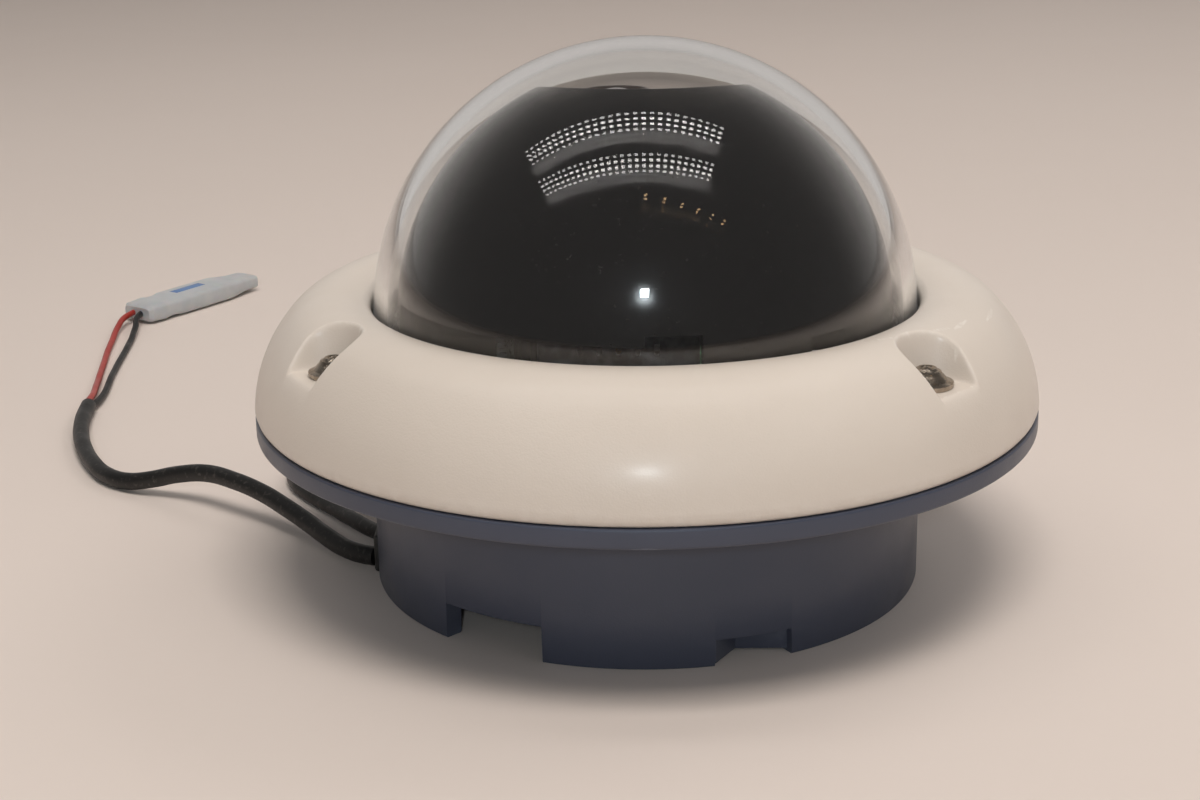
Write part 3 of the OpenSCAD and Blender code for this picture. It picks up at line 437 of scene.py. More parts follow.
# ---------------------------------------------------------------- cords
POWER_ROUTE = [
    (-59.3, -5.8, 3.2), (-62.5, -4.4, 3.2), (-66.5, -1.2, 3.3), (-71, 3.8, 3.9), (-76.5, 10.5, 5),
    (-82.5, 17, 6.3), (-89, 23.6, 7.5), (-96.5, 30, 8.2), (-104.5, 36.4, 7.9), (-112.5, 40.8, 6.1),
    (-119.5, 43.6, 3.9), (-126, 46.4, 2.5), (-132.5, 52, 2.15), (-138, 60.8, 2.15), (-143, 72, 2.15),
    (-147.2, 84.8, 2.15), (-150, 98, 2.15), (-151.3, 109, 2.15)]
RED_ROUTE = [
    (-151.8, 109, 2.9), (-151.9, 113.5, 2.8), (-152.3, 118, 2.5), (-153.1, 123, 2.1), (-154, 128, 1.8),
    (-155, 134, 1.4), (-156, 140, 1.2), (-157, 146.5, 1.1), (-158, 153, 1), (-159, 159.5, 1), (-160, 166, 1),
    (-160.8, 172.5, 1.1), (-161.5, 179, 1.3), (-162.1, 184.5, 1.7), (-162.4, 190, 2.2), (-162.2, 197, 3),
    (-160.6, 203, 3.2)]
BLACK_ROUTE = [
    (-150.7, 109, 1.7), (-150.3, 113.5, 1.6), (-150.2, 118, 1.5), (-150.5, 123, 1.3), (-151, 128, 1.2),
    (-151.8, 134, 1.1), (-152.6, 140, 1), (-153.2, 146.5, 1), (-153.8, 153, 1), (-154.3, 159.5, 1),
    (-154.8, 166, 1), (-155.3, 172.5, 1.1), (-155.8, 179, 1.3), (-156.4, 184.5, 1.7), (-157, 190, 2.2),
    (-158, 196, 3), (-157.9, 201.4, 3.2)]
VIDEO_ROUTE = [
    (-59.3, 7.6, 3.2), (-62.6, 11.4, 3), (-67, 17.8, 2.7), (-71.5, 24.8, 2.3), (-76.2, 31.8, 1.95),
    (-80.8, 38.4, 1.9), (-84.8, 45.8, 1.9), (-86.6, 55, 1.9), (-84.6, 65.4, 1.9), (-77.6, 76, 1.9),
    (-67, 85, 1.9), (-55, 91, 2.2), (-42, 95, 3.3), (-30, 97.2, 5.4), (-18, 97.6, 7.4), (-8, 97.6, 7.4)]


def route_curve(name, route, diameter, finish):
    data = bpy.data.curves.new(name, "CURVE")
    data.dimensions = "3D"
    data.resolution_u = 6
    data.bevel_depth = diameter / 2
    data.bevel_resolution = 6
    data.use_fill_caps = True
    spline = data.splines.new("BEZIER")
    spline.bezier_points.add(len(route) - 1)
    for point, spot in zip(spline.bezier_points, route):
        point.co = Vector(spot) * MM
        point.handle_left_type = point.handle_right_type = "AUTO"
    data.materials.append(finish.material)
    piece = bpy.data.objects.new(name, data)
    collection.objects.link(piece)
    return piece


PLUG_TAIL = (-159.2, 202.2)
PLUG_TURN = 57.0
PLUG_FOOT = 0.2
plug_place = at(PLUG_TAIL[0], PLUG_TAIL[1], PLUG_FOOT) @ Matrix.Rotation(math.radians(PLUG_TURN), 4, "Z")

power_cable = route_curve("power_cable_sheath", POWER_ROUTE, 0.0042, cable_sheath)
red_lead = route_curve("red_lead_wire", RED_ROUTE, 0.0018, red_sheath)
black_lead = route_curve("black_lead_wire", BLACK_ROUTE, 0.0018, cable_sheath)
video_cable = route_curve("video_cable_sheath", VIDEO_ROUTE, 0.0036, cable_sheath)
settle(power_cable, "enclosure", "cable_black", "power_cable")
settle(red_lead, "enclosure", "lead_red", "red_lead")
settle(black_lead, "enclosure", "cable_black", "black_lead")
settle(video_cable, "enclosure", "cable_black", "video_cable")


def plug_body():
    """Flattened two-way plug housing: waisted sides, keyed nose, open mouth."""
    stations = [(0.0, 5.2, 1.1), (1.2, 6.2, 0.3), (7.0, 6.5, 0.0), (9.0, 6.1, 0.35), (12.0, 6.1, 0.35),
                (14.0, 6.5, 0.0), (36.0, 6.5, 0.0), (38.5, 6.2, 0.2), (44.0, 5.3, 0.8), (49.6, 5.0, 0.9),
                (50.0, 4.7, 1.1)]
    verts, faces = [], []
    sides = 40
    for x, half, inset in stations:
        tall = (6.0 - 2 * inset) / 2
        for i in range(sides):
            a = TAU * i / sides
            c, s = math.cos(a), math.sin(a)
            power = 0.42
            verts.append((x, half * math.copysign(abs(c) ** power, c),
                          3.0 + tall * math.copysign(abs(s) ** power, s)))
    for k in range(len(stations) - 1):
        for i in range(sides):
            j = (i + 1) % sides
            faces.append((k * sides + i, k * sides + j, (k + 1) * sides + j, (k + 1) * sides + i))
    faces.append(tuple(range(sides)))
    faces.append(tuple((len(stations) - 1) * sides + i for i in range(sides)))
    piece = mesh_object("power_plug_sleeve", [plug_place @ Vector(v) for v in verts], faces, plug_nylon)
    sockets = []
    for side in (-1, 1):
        mouth = lathe(f"mouth_{side}", [(0, 0), (1.5, 0), (1.5, 12), (0, 12)], plug_nylon, 24, 32.0,
                      along_x(plug_place @ at(41, 2.4 * side, 3.0)))
        sockets.append(mouth)
    return cut(piece, sockets)


power_plug = settle(plug_body(), "enclosure", "plug_clear", "power_plug")
power_plug.data.set_sharp_from_angle(angle=math.radians(32))

# Plain stripe printed on the sleeve's upper face
stripe = from_bm("plug_stripe", [(box_points((13.0, 3.4, 0.3), 0.12, 2), plug_place @ at(23.0, 0.6, 5.72))],
                 stripe_blue)
settle(stripe, "enclosure", "plug_clear")


def knurled(radius, start, end, teeth, depth):
    """A straight-knurled collar along X as a bmesh, its axis on Z before it is placed."""
    bm = bmesh.new()
    levels = [(start, radius - 0.5), (start + 0.4, radius), (end - 0.4, radius), (end, radius - 0.5)]
    count = teeth * 4
    rings = []
    for z, r in levels:
        ring = []
        for i in range(count):
            dip = depth if i % 4 in (0, 1) else 0.0
            a = TAU * i / count
            ring.append(bm.verts.new(((r - dip) * math.cos(a), (r - dip) * math.sin(a), z)))
        rings.append(ring)
    for low, high in zip(rings, rings[1:]):
        for i in range(count):
            j = (i + 1) % count
            bm.faces.new((low[i], low[j], high[j], high[i]))
    bm.faces.new(list(reversed(rings[0])))
    bm.faces.new(rings[-1])
    bm.verts.index_update()
    return bm


bnc_place = along_x(at(-8, 97.6, 7.4))
bnc_shell = rounded([(4.9, 20.5), (5.0, 30.0), (6.2, 30.0), (6.2, 17.0), (4.4, 17.0), (4.4, 12.0), (3.5, 11.6),
                     (3.5, 0.0), (0.0, 0.0), (0.0, 20.5)],
                    [0.2, 0.2, 0.4, 0.3, 0.2, 0.3, 0.2, 0.4, 0, 0], 3)
video_plug = from_bm("video_plug_shell", [
    (lathe_bm(bnc_shell, 64), bnc_place),
    (knurled(7.25, 17.4, 26.6, 28, 0.45), bnc_place)], nickel, 40.0)
inner_cut = lathe("bore", [(0, 19.9), (4.95, 19.9), (4.95, 32), (0, 32)], nickel, 48, 32.0, bnc_place)
cut(video_plug, [inner_cut])
settle(video_plug, "enclosure", "plug_nickel", "video_plug")


# ---------------------------------------------------------------- cover ring
RIM_CENTRE, RIM_R = (53.6, 38.0), 29.7
CROWN_CENTRE, CROWN_R = (64.894, 48.906), 14.0
JOIN = 44.0
SHELL = 3.0
POCKETS = (-60.0, 49.5, 174.7)
POCKET_END, POCKET_Z = 65.6, 53.5
# Half widths of a pocket at the crown and at its floor, and how steeply its walls rise
POCKET_HALF, POCKET_LOW, DRAFT = 8.25, 6.25, 4.5
BOSS_FOOT, BOSS_R = 46.0, 8.0
SCREW_RING = 71.0


def smooth_min(a, b, k):
    h = np.clip(0.5 + 0.5 * (b - a) / k, 0, 1)
    return b * (1 - h) + a * h - k * h * (1 - h)


def smooth_max(a, b, k):
    return -smooth_min(-a, -b, k)


def sunk(x, y, z, grow, floor, boss=None):
    """Heights of the ring's skin once the three drafted pockets are sunk into it."""
    for direction in POCKETS:
        turn = math.radians(direction - 90)
        u = x * math.cos(turn) + y * math.sin(turn)
        v = -x * math.sin(turn) + y * math.cos(turn)
        round_u = POCKET_END + POCKET_HALF
        d = np.where(u > round_u, np.abs(v), np.hypot(u - round_u, v)) - POCKET_LOW - grow
        bottom = smooth_max(floor + DRAFT * d, np.full_like(d, floor), 1.6)
        if boss:
            foot, radius = boss
            well = foot + 9.0 * (np.hypot(u - SCREW_RING, v) - radius)
            bottom = np.minimum(bottom, smooth_max(well, np.full_like(d, foot), 0.4))
        z = np.where(u > 20, smooth_min(z, bottom, 1.8), z)
    return z


def cover_piece():
    outer = (arc(RIM_CENTRE, RIM_R, 4, 30, 10)[:-1] + arc(RIM_CENTRE, RIM_R, 30, JOIN, 30)[:-1]
             + arc(CROWN_CENTRE, CROWN_R, JOIN, 96, 52)[:-1] + arc(CROWN_CENTRE, CROWN_R, 96, 114, 8))
    lip = [(58.45, 60.95), (58.12, 60.45), (58.0, 59.8), (58.0, 57.2), (58.2, 57.0), (60.6, 57.0), (60.8, 57.2)]
    inner = (arc(CROWN_CENTRE, CROWN_R - SHELL, 110, 96, 4)[:-1]
             + arc(CROWN_CENTRE, CROWN_R - SHELL, 96, JOIN, 40)[:-1]
             + arc(RIM_CENTRE, RIM_R - SHELL, JOIN, 30, 22)[:-1] + arc(RIM_CENTRE, RIM_R - SHELL, 30, 9, 7))
    foot = [(78.2, 41.6), (78.0, 41.3), (78.0, 38.6), (78.2, 38.4), (81.5, 38.4), (82.1, 38.48), (82.55, 38.75),
            (82.95, 39.25)]
    rows = np.array(outer + lip + inner + foot)
    is_outer = np.array([True] * len(outer) + [False] * (len(rows) - len(outer)))
    is_inner = np.array([False] * (len(outer) + len(lip)) + [True] * len(inner) + [False] * len(foot))
    angles = set(np.round(np.arange(0, 360, 2.0), 4))
    for direction in POCKETS:
        middle = direction - 90
        angles = {a for a in angles if abs((a - middle + 180) % 360 - 180) > 9.8}
        angles |= set(np.round((middle + np.arange(-9.8, 9.81, 0.2)) % 360, 4))
    angles = np.radians(np.array(sorted(angles)))
    r, z = rows[:, 0][None, :], rows[:, 1][None, :]
    x, y = np.cos(angles)[:, None] * r, np.sin(angles)[:, None] * r
    z = np.repeat(z, len(angles), 0)
    top = sunk(x, y, z.copy(), 0.0, POCKET_Z)
    under = sunk(x, y, z.copy(), 2.5, POCKET_Z - SHELL, (BOSS_FOOT, BOSS_R))
    z = np.where(is_outer[None, :], top, z)
    z = np.where(is_inner[None, :], np.maximum(np.minimum(z, under), 41.0), z)
    verts = np.stack([x, y, z], -1).reshape(-1, 3)
    faces = []
    many, count = len(angles), len(rows)
    for i in range(many):
        j = (i + 1) % many
        for k in range(count):
            m = (k + 1) % count
            faces.append((i * count + k, j * count + k, j * count + m, i * count + m))
    return mesh_object("cover_ring_casting", verts, faces, cover_paint, 50.0)


settle(cover_piece(), "enclosure", "cover_paint", "enclosure_cover")


# ---------------------------------------------------------------- cover screws: button heads with a pinned socket
def cover_screws():
    parts = []
    head = rounded([(0.0, 54.95), (1.6, 54.95), (1.65, 56.42), (2.4, 56.4), (3.3, 55.9), (4.1, 55.0), (4.5, 54.0),
                    (2.5, 54.0), (2.5, 41.3), (2.0, 41.0), (0.0, 41.0)],
                   [0, 0.1, 0.2, 0.6, 1.0, 1.0, 0.12, 0, 0.2, 0.2, 0], 4)
    post = rounded([(0.0, 54.9), (0.6, 54.9), (0.6, 56.1), (0.42, 56.3), (0.0, 56.3)], [0, 0, 0.1, 0.05, 0], 2)
    for direction in POCKETS:
        parts.append((lathe_bm(head, 48), toward(direction) @ at(SCREW_RING, 0, 0)))
        parts.append((lathe_bm(post, 20), toward(direction) @ at(SCREW_RING, 0, 0)))
    return from_bm("cover_screw_heads", parts, screw_steel)


settle(cover_screws(), "enclosure", "screw_steel", "cover_screws")


# ---------------------------------------------------------------- base casting
BARREL_R, BARREL_IN = 58.9, 54.9
FLOOR_LOW, FLOOR_TOP = 9.0, 12.5
FLANGE_LOW, FLANGE_TOP, RIM_EDGE = 34.4, 38.4, 83.2
MOUNT_HALF, MOUNT_R, CONDUIT_R = 34.0, 2.6, 8.0
SCREW_BOSS_R, SCREW_HOLE_R = 6.0, 2.55
# Direction from the front, width and height of each notch in the barrel's foot; the last holds the grommet
NOTCHES = ((-32.0, 22.6, 7.5), (20.9, 15.8, 5.4), (92.0, 15.0, 5.4), (156.0, 20.0, 7.5), (-92.5, 22.0, 9.0))
GROMMET_Y = 2.5


def base_wall():
    """Barrel wall and flange, with the notches stepped into the bottom edge."""
    edge = 0.35
    steps = []
    for direction, width, height in NOTCHES:
        half = math.degrees(math.asin(width / 2 / 57.0))
        tiny = math.degrees(0.06 / 57.0)
        soft = math.degrees(0.5 / 57.0)
        middle = direction - 90
        steps.append((middle, half, tiny, soft, height))
    angles = set(np.round(np.arange(0, 360, 1.5), 4))
    for middle, half, tiny, soft, height in steps:
        angles = {a for a in angles if abs(abs((a - middle + 180) % 360 - 180) - half) > soft * 1.2}
        for side in (-1, 1):
            for offset in (-soft, -soft * 0.6, -soft * 0.25, -tiny, tiny):
                angles.add(round((middle + side * (half + offset)) % 360, 5))
    angles = np.array(sorted(angles))
    foot = np.zeros(len(angles))
    for middle, half, tiny, soft, height in steps:
        away = half - np.abs((angles - middle + 180) % 360 - 180)
        inside = away > 0
        t = np.clip(away / soft, 0, 1)
        rise = height - 0.5 * (1 - np.sqrt(np.clip(1 - (1 - t) ** 2, 0, 1)))
        foot = np.where(inside, rise, foot)
    verts, faces = [], []
    for angle, low in zip(angles, foot):
        a = math.radians(angle)
        rows = [(BARREL_IN, low + edge), (BARREL_IN + edge, low), (BARREL_R - edge, low),
                (BARREL_R - edge * 0.3, low + edge * 0.3), (BARREL_R, low + edge)]
        rows += [(BARREL_R, low + edge + (33.4 - low - edge) * s) for s in (0.33, 0.66)]
        rows += arc((BARREL_R + 1.0, 33.4), 1.0, 180, 90, 5)
        rows += [(66.0, FLANGE_LOW), (74.0, FLANGE_LOW)]
        rows += arc((82.5, 35.1), 0.7, 270, 360, 5) + [(RIM_EDGE, 36.6)]
        rows += arc((82.7, 37.9), 0.5, 0, 90, 4)
        rows += [(r, FLANGE_TOP) for r in (78.0, 66.0, 55.4)]
        rows += [(BARREL_IN, z) for z in (37.9, 24.0, 12.6)]
        for r, z in rows:
            verts.append((r * math.cos(a), r * math.sin(a), z))
    count = len(rows)
    many = len(angles)
    for i in range(many):
        j = (i + 1) % many
        for k in range(count):
            m = (k + 1) % count
            faces.append((i * count + k, j * count + k, j * count + m, i * count + m))
    return verts, faces


def plate(name, outline, holes, low, high, soft, finish, place=None, sharp=35.0):
    """A flat plate with rounded edges from an outline and (x, y, radius) or outline holes."""
    data = bpy.data.curves.new(name, "CURVE")
    data.dimensions = "2D"
    data.fill_mode = "BOTH"
    data.extrude = (high - low) / 2 - soft
    data.bevel_depth = soft
    data.bevel_resolution = 2
    data.offset = -soft

    def ring(points):
        spline = data.splines.new("POLY")
        spline.points.add(len(points) - 1)
        for point, (x, y) in zip(spline.points, points):
            point.co = (x, y, 0, 1)
        spline.use_cyclic_u = True

    ring(outline)
    for hole in holes:
        if len(hole) == 3 and not hasattr(hole[0], "__len__"):
            x, y, r = hole
            steps = max(20, int(r * 6))
            ring([(x + r * math.cos(TAU * i / steps), y + r * math.sin(TAU * i / steps)) for i in range(steps)])
        else:
            ring(hole)
    temp = bpy.data.objects.new(name, data)
    collection.objects.link(temp)
    graph = bpy.context.evaluated_depsgraph_get()
    mesh = bpy.data.meshes.new_from_object(temp.evaluated_get(graph))
    bpy.data.objects.remove(temp)
    bpy.data.curves.remove(data)
    bm = bmesh.new()
    bm.from_mesh(mesh)
    bpy.data.meshes.remove(mesh)
    bmesh.ops.remove_doubles(bm, verts=bm.verts, dist=1e-4)
    bmesh.ops.translate(bm, vec=(0, 0, (low + high) / 2), verts=bm.verts)
    bm.verts.index_update()
    if finish is None:
        return bm
    return from_bm(name, [(bm, place or Matrix.Identity(4))], finish, sharp)


def circle_outline(radius, steps=192):
    return [(radius * math.cos(TAU * i / steps), radius * math.sin(TAU * i / steps)) for i in range(steps)]


def base_piece():
    verts, faces = base_wall()
    wall = bmesh.new()
    rows = [wall.verts.new(v) for v in verts]
    for f in faces:
        wall.faces.new([rows[i] for i in f])
    wall.verts.index_update()
    still = Matrix.Identity(4)
    floor_holes = [(sx * MOUNT_HALF, sy * MOUNT_HALF, MOUNT_R) for sx in (-1, 1) for sy in (-1, 1)]
    floor_holes.append((0.0, 0.0, CONDUIT_R))
    stem = [(x, GROMMET_Y + y) for x, y in ((-53, -7), (-45, -7), (-45, 7), (-53, 7))]
    disc = plate("floor", circle_outline(BARREL_IN + 0.3), floor_holes + [stem], FLOOR_LOW, FLOOR_TOP, 0.3, None)
    parts = [(wall, still), (disc, still)]
    # The front right notch is closed behind: slanted cheek, flat back and a roof
    cheek = [(12.9, -57.3), (13.3, -57.3), (17.4, -50), (27.6, -50), (27.0, -47), (14.0, -47), (12.0, -53)]
    roof = [(13.5, -54.3), (19.2, -52.6), (25.4, -49.9), (26.5, -47.6), (14.2, -47.6)]
    parts.append((plate("cheek", cheek, [], 0.5, 9.2, 0.25, None), still))
    parts.append((plate("roof", roof, [], 5.3, 9.2, 0.15, None), still))
    for a in (0, 120, 240):
        post = rounded([(1.3, 14.0), (1.3, 22.0), (4.5, 22.0), (4.5, 12.4), (0, 12.4), (0, 14.0)],
                       [0, 0.2, 0.4, 0, 0, 0], 2)
        parts.append((lathe_bm(post, 40), Matrix.Rotation(math.radians(a), 4, "Z") @ at(49.3, 0, 0)))
    for a in (30, 150, 210):
        post = rounded([(1.3, 12.4), (1.3, 16.0), (3.0, 16.0), (3.0, 12.4)], [0, 0.2, 0.3, 0], 2)
        parts.append((lathe_bm(post, 32), Matrix.Rotation(math.radians(a), 4, "Z") @ at(36, 0, 0)))
    for direction in POCKETS:
        post = rounded([(SCREW_HOLE_R, 40.0), (SCREW_HOLE_R, 46.0), (SCREW_BOSS_R, 46.0), (SCREW_BOSS_R, 38.3),
                        (0.0, 38.3), (0.0, 40.0)], [0, 0.2, 0.4, 0, 0, 0], 2)
        parts.append((lathe_bm(post, 40), toward(direction) @ at(SCREW_RING, 0, 0)))
    return from_bm("base_casting", parts, base_paint, 40.0)


settle(base_piece(), "enclosure", "base_paint", "base_housing")


# ---------------------------------------------------------------- clear dome
def dome_piece():
    outer = arc((0, 57), 57.5, 0, 90, 72)
    inner = arc((0, 57), 54.7, 90, 0, 72)
    skirt = [(54.7, 53.3), (55.0, 53.0), (61.5, 53.0), (61.8, 53.3), (61.8, 55.2), (61.5, 55.5), (57.9, 55.5),
             (57.5, 55.9)]
    profile = [(max(r, 0.0) if r > 1e-4 else 0.0, z) for r, z in outer + inner + skirt]
    return lathe("dome_shell", profile, dome_clear, 256, 40.0)


settle(dome_piece(), "enclosure", "dome_clear", "dome_window")


# ---------------------------------------------------------------- black liner
LINER_R, LINER_T, TILT_Z = 52.6, 2.0, 56.4


def window_cutter(steps, low, inner, outer):
    """Ring sector from low up to the height stated for each direction."""
    directions = np.arange(steps[0][0], steps[-1][0] + 0.01, 2.0)
    stations = sorted({(float(a), float(np.interp(a, *zip(*steps)))) for a in directions} | set(
        (float(a), float(top)) for a, top in steps))
    verts = []
    for a, top in stations:
        x, y = math.sin(math.radians(a)), -math.cos(math.radians(a))
        verts += [(inner * x, inner * y, low), (outer * x, outer * y, low), (outer * x, outer * y, top),
                  (inner * x, inner * y, top)]
    last = 4 * (len(stations) - 1)
    faces = [(0, 1, 2, 3), (last + 3, last + 2, last + 1, last)]
    for i in range(len(stations) - 1):
        faces += [(4 * i + k, 4 * i + 4 + k, 4 * i + 4 + (k + 1) % 4, 4 * i + (k + 1) % 4) for k in range(4)]
    return mesh_object("window_cutter", verts, faces, liner_black)


def liner_piece():
    inside = LINER_R - LINER_T
    profile = (arc((0, TILT_Z), LINER_R, 0, 90, 64) + arc((0, TILT_Z), inside, 90, 0, 64)
               + [(inside, 40.0), (inside, 33.8), (inside + 0.3, 33.5), (LINER_R - 0.3, 33.5), (LINER_R, 33.8),
                  (LINER_R, 40.0)])
    profile = [(r if r > 1e-4 else 0.0, z) for r, z in profile]
    shell = lathe("liner_shell", profile, liner_black, 256, 32.0)
    slot_y, half, foot = 4.0, 22.0, 61.0
    outline = [(half * math.cos(math.radians(a)), slot_y + half * math.sin(math.radians(a)))
               for a in np.linspace(180, 360, 49)] + [(half, 75.0), (-half, 75.0)]
    cutters = []
    verts = [(x, y, foot) for x, y in outline] + [(x, y, 125.0) for x, y in outline]
    count = len(outline)
    faces = [tuple(range(count)), tuple(range(2 * count - 1, count - 1, -1))]
    faces += [(i, (i + 1) % count, count + (i + 1) % count, count + i) for i in range(count)]
    cutters.append(mesh_object("slot_cutter", verts, faces, liner_black))
    for steps in ([(-70, 63.4), (0, 63.4), (0.02, 65.4), (12, 65.4)], [(37, 62.4), (50, 62.4)]):
        cutters.append(window_cutter(steps, 46.0, 45.0, 62.0))
    cut(shell, cutters)
    mesh = shell.data
    mesh.shade_smooth()
    centre = Vector((0, 0, TILT_Z * MM))
    # Sphere and skirt normals are set from the true surface, so that the gloss shows no facets
    normals = []
    for polygon in mesh.polygons:
        for index in polygon.loop_indices:
            co = mesh.vertices[mesh.loops[index].vertex_index].co
            away = co - centre
            if away.z < 0:
                away.z = 0.0
            true = away.normalized()
            if polygon.normal.dot(true) > 0.93:
                normals.append(true)
            elif polygon.normal.dot(true) < -0.93:
                normals.append(-true)
            else:
                normals.append(polygon.normal.copy())
    mesh.normals_split_custom_set(normals)
    return shell


settle(liner_piece(), "pan_head", "liner_gloss", "inner_liner")


# ---------------------------------------------------------------- camera block
LENS_X = -5.5
block = at(LENS_X, 0, TILT_Z)


def lens_barrel():
    """Stepped lens barrel with grip ribs, a retaining ring and an open front."""
    outer = [(8.6, 20.0), (10.0, 20.0), (10.0, 22.0)]
    for i in range(5):
        z = 23.0 + i * 2.2
        outer += [(10.0, z), (9.5, z + 0.3), (9.5, z + 0.9), (10.0, z + 1.2)]
    outer += [(10.0, 35.4), (9.6, 36.0), (7.6, 36.0), (7.0, 36.5), (7.0, 42.2), (6.7, 42.5), (6.7, 43.1),
              (7.0, 43.4), (7.0, 46.9), (6.6, 47.4), (6.0, 47.4), (5.6, 46.6), (5.6, 36.0), (8.6, 35.0)]
    return lathe("lens_barrel_tube", outer, lens_black, 96, 30.0, block)


settle(lens_barrel(), "tilt_head", "unit_black", "lens_barrel")


def front_lens():
    cap = arc((0, 38.6), 9.0, 90 - math.degrees(math.asin(5.55 / 9.0)), 90, 10)
    profile = [(0.0, 43.6), (5.3, 43.6), (5.55, 43.9)] + cap[:-1] + [(0.0, 47.6)]
    return lathe("front_lens_element", profile, lens_glass, 96, 30.0, block)


settle(front_lens(), "tilt_head", "lens_glass", "front_lens")


def camera_block():
    shell = from_bm("camera_block_shell", [(box_points((34.0, 26.0, 36.0), 1.6, 4), block @ at(0, 0, -16.0))],
                    camera_paint)
    hollow = from_bm("hollow", [(box_points((31.0, 23.0, 40.0), 0.6, 2), block @ at(0, 0, -21.5))], camera_paint)
    hole = lathe("hole", [(0, 10), (8.6, 10), (8.6, 30), (0, 30)], camera_paint, 64, 32.0, block)
    vents = []
    for i in range(5):
        vents.append(from_bm(f"vent_{i}", [(box_points((1.2, 30.0, 12.0), 0.5, 3), block @ at(-8 + 4 * i, 0, -6))],
                             camera_paint))
    cut(shell, [hollow, hole] + vents)
    return shell


camera_shell = settle(camera_block(), "tilt_head", "camera_grey", "camera_housing")
camera_shell.data.set_sharp_from_angle(angle=math.radians(32))

back = from_bm("camera_block_back", [(box_points((34.0, 26.0, 1.5), 0.5, 3), block @ at(0, 0, -17.5))],
               camera_paint)
settle(back, "tilt_head", "camera_grey", "camera_back_cover")


# ---------------------------------------------------------------- cable grommet
grommet_parts = [(box_points((11.7, 21.9, 8.5), 0.8, 3), at(-53.45, GROMMET_Y, 0.4)),
                 (box_points((7.8, 13.8, 4.6), 0.5, 3), at(-49, GROMMET_Y, 9.0))]
grommet = from_bm("grommet_block", grommet_parts, gasket_rubber)
settle(grommet, "enclosure", "rubber_black", "cable_grommet")


# ---------------------------------------------------------------- CAD nodes kept, each with its finish
FINISHES = {
    gasket_rubber: ["floor_gasket", "cover_gasket", "dome_gasket"],
    screw_steel: ["screw_washers", "retainer_screws", "chassis_screws", "board_screws", "motor_screws",
                  "yoke_screws", "liner_screws"],
    steel: ["dome_retainer", "chassis_plate", "yoke_arm_left", "yoke_arm_right", "pan_motor", "tilt_motor",
            "zoom_motor", "focus_motor"],
    board_green: ["main_board", "interface_board", "sensor_board"],
    chip_black: ["board_chips"],
    socket_ivory: ["board_connectors"],
    slip_ring_black: ["slip_ring_stator"],
    ground_steel: ["bearing_outer_race", "bearing_inner_race", "bearing_balls", "guide_rods"],
    brass: ["slip_ring_rotor", "tilt_bushes", "zoom_screw", "focus_screw", "plug_contacts", "video_plug_pin"],
    gear_ivory: ["pan_gear", "pan_pinion", "tilt_gear", "tilt_pinion"],
    unit_black: ["turntable", "tilt_cradle"],
    filter_glass: ["ir_cut_filter"],
    carriage_grey: ["zoom_carriage", "focus_carriage"],
}
for finish, names in FINISHES.items():
    for name in names:
        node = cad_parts[name]
        node.data.materials.clear()
        node.data.materials.append(finish.material)
        node.data.shade_smooth()
        node.data.set_sharp_from_angle(angle=math.radians(32))


# ---------------------------------------------------------------- floor, backdrop and light
def stage_material(name, colour, shade, rough):
    n = Nodes(name)
    n.colour(n.mix(n.ramp(n.noise(3.0, 5.0), 0.3, 0.75), colour, shade))
    n.roughness(n.ramp(n.noise(20.0, 3.0), 0.3, 0.7, rough, rough + 0.1))
    n.bump(n.noise(500.0, 4.0), 0.05, 0.0005)
    return n


paper = stage_material("paper", (0.76, 0.675, 0.62), (0.74, 0.655, 0.60), 0.75)
floor_mesh = bpy.data.meshes.new("floor")
floor_mesh.from_pydata([(-4, -4, 0), (4, -4, 0), (4, 4, 0), (-4, 4, 0)], [], [(0, 1, 2, 3)])
floor_mesh.materials.append(paper.material)
floor = bpy.data.objects.new("floor", floor_mesh)
collection.objects.link(floor)


def area_light(name, spot, aim, size, power, colour, mirrored=False):
    data = bpy.data.lights.new(name, "AREA")
    data.shape = "RECTANGLE"
    data.size, data.size_y = size
    data.energy = power
    data.color = colour
    light = bpy.data.objects.new(name, data)
    light.location = spot
    light.rotation_euler = (Vector(aim) - Vector(spot)).to_track_quat("-Z", "Y").to_euler()
    light.visible_glossy = light.visible_transmission = mirrored
    collection.objects.link(light)
    return light


LAMP = (1.0, 0.955, 0.93)
WARM_LAMP = (1.0, 0.94, 0.88)
COOL_LAMP = (0.84, 0.94, 1.0)
area_light("key", (0.1, -0.5, 1.5), (0, 0, 0.03), (0.8, 0.5), 12.6, WARM_LAMP)
area_light("fill", (0.9, -0.8, 1.1), (0, 0, 0.03), (0.8, 0.8), 1.4, LAMP)
area_light("back", (1.0, 0.8, 1.3), (0, 0, 0.05), (1.2, 0.6), 4.6, LAMP)
area_light("front_spot", (0.0, -1.2, 0.52), (0, 0, 0.06), (0.07, 0.07), 2.3, COOL_LAMP, True)


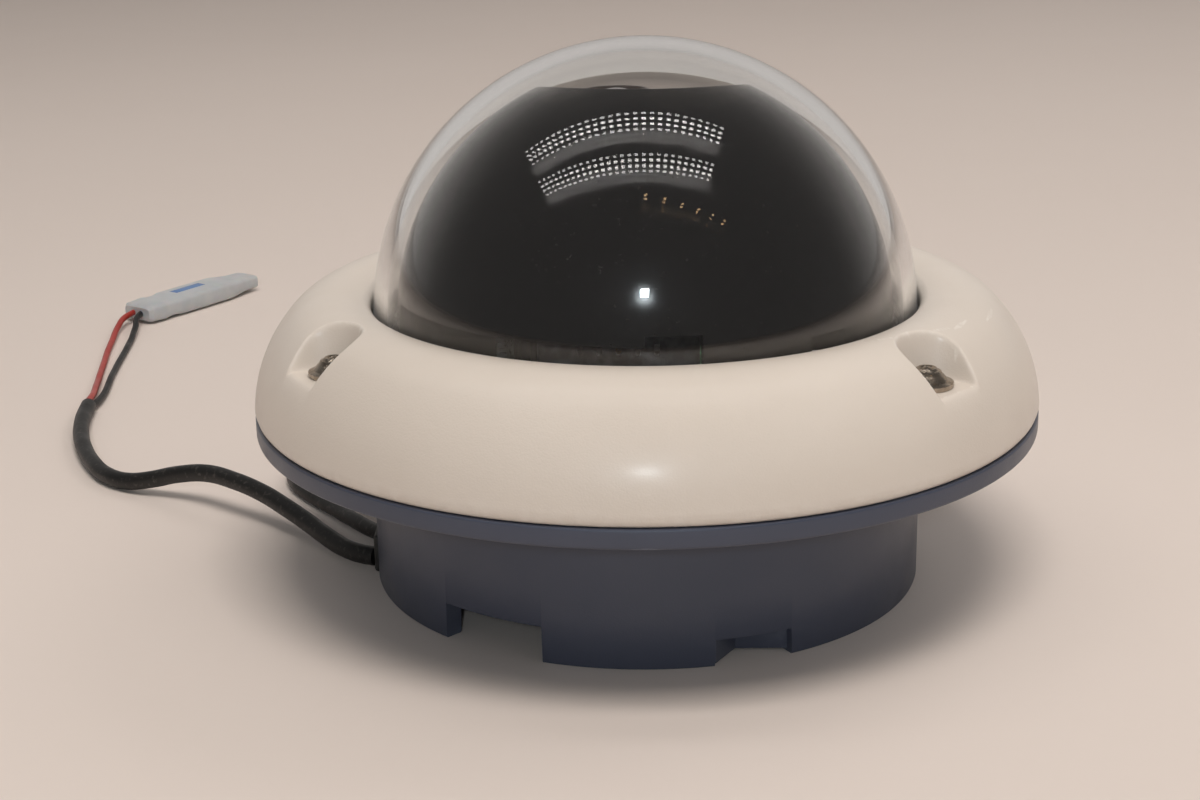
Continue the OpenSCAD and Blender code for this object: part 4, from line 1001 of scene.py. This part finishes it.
def dotted(light, columns):
    """Gives a lamp the bright dots of a row of diodes."""
    light.data.use_nodes = True
    tree = light.data.node_tree
    mapping = tree.nodes.new("ShaderNodeMapping")
    mapping.inputs["Scale"].default_value = (columns, 1.0, 1.0)
    tree.links.new(tree.nodes.new("ShaderNodeNewGeometry").outputs["Parametric"], mapping.inputs["Vector"])
    checker = tree.nodes.new("ShaderNodeTexChecker")
    checker.inputs["Scale"].default_value = 1.0
    tree.links.new(mapping.outputs["Vector"], checker.inputs["Vector"])
    bright = tree.nodes.new("ShaderNodeMapRange")
    bright.inputs["To Min"].default_value = 0.04
    bright.inputs["To Max"].default_value = 1.96
    tree.links.new(checker.outputs["Fac"], bright.inputs["Value"])
    tree.links.new(bright.outputs["Result"], tree.nodes["Emission"].inputs["Strength"])


# Two ceiling strips of three rows of diodes
CEILING, STRIP_X = 1.6, -0.25
for strip_index, middle in enumerate((0.2, -0.38)):
    for row in range(3):
        y = middle + 0.08 * (row - 1)
        dotted(area_light(f"ceiling_row_{strip_index}_{row}", (STRIP_X, y, CEILING), (STRIP_X, y, 0),
                          (1.9, 0.032), 0.85, LAMP, True), 56)
# A few warm lamps farther off
for i in range(6):
    x, y = 0.02 + 0.22 * i, -0.86 - 0.05 * i
    area_light(f"warm_lamp_{i}", (x, y, CEILING), (x, y, 0), (0.03, 0.03), 0.035, (1.0, 0.62, 0.3), True)

world = bpy.data.worlds.new("world")
world.use_nodes = True
# Pale wall behind, dim room elsewhere
backdrop = world.node_tree.nodes["Background"]
backdrop.inputs["Color"].default_value = (0.93, 0.88, 0.84, 1.0)
links = world.node_tree.links
direction = world.node_tree.nodes.new("ShaderNodeTexCoord")
split = world.node_tree.nodes.new("ShaderNodeSeparateXYZ")
links.new(direction.outputs["Generated"], split.inputs[0])
bands = []
for axis, start, end in ((1, 0.2, 0.8), (2, 0.75, 0.3)):
    band_map = world.node_tree.nodes.new("ShaderNodeMapRange")
    band_map.inputs["From Min"].default_value = start
    band_map.inputs["From Max"].default_value = end
    links.new(split.outputs[axis], band_map.inputs["Value"])
    bands.append(band_map.outputs["Result"])
wall = world.node_tree.nodes.new("ShaderNodeMath")
wall.operation = "MULTIPLY"
level = world.node_tree.nodes.new("ShaderNodeMath")
level.operation = "MULTIPLY_ADD"
level.inputs[1].default_value = 0.42
level.inputs[2].default_value = 0.15
for socket, band_value in zip(wall.inputs, bands):
    links.new(band_value, socket)
links.new(wall.outputs[0], level.inputs[0])
links.new(level.outputs[0], backdrop.inputs["Strength"])
bpy.context.scene.world = world
bpy.context.scene.view_settings.view_transform = "Standard"
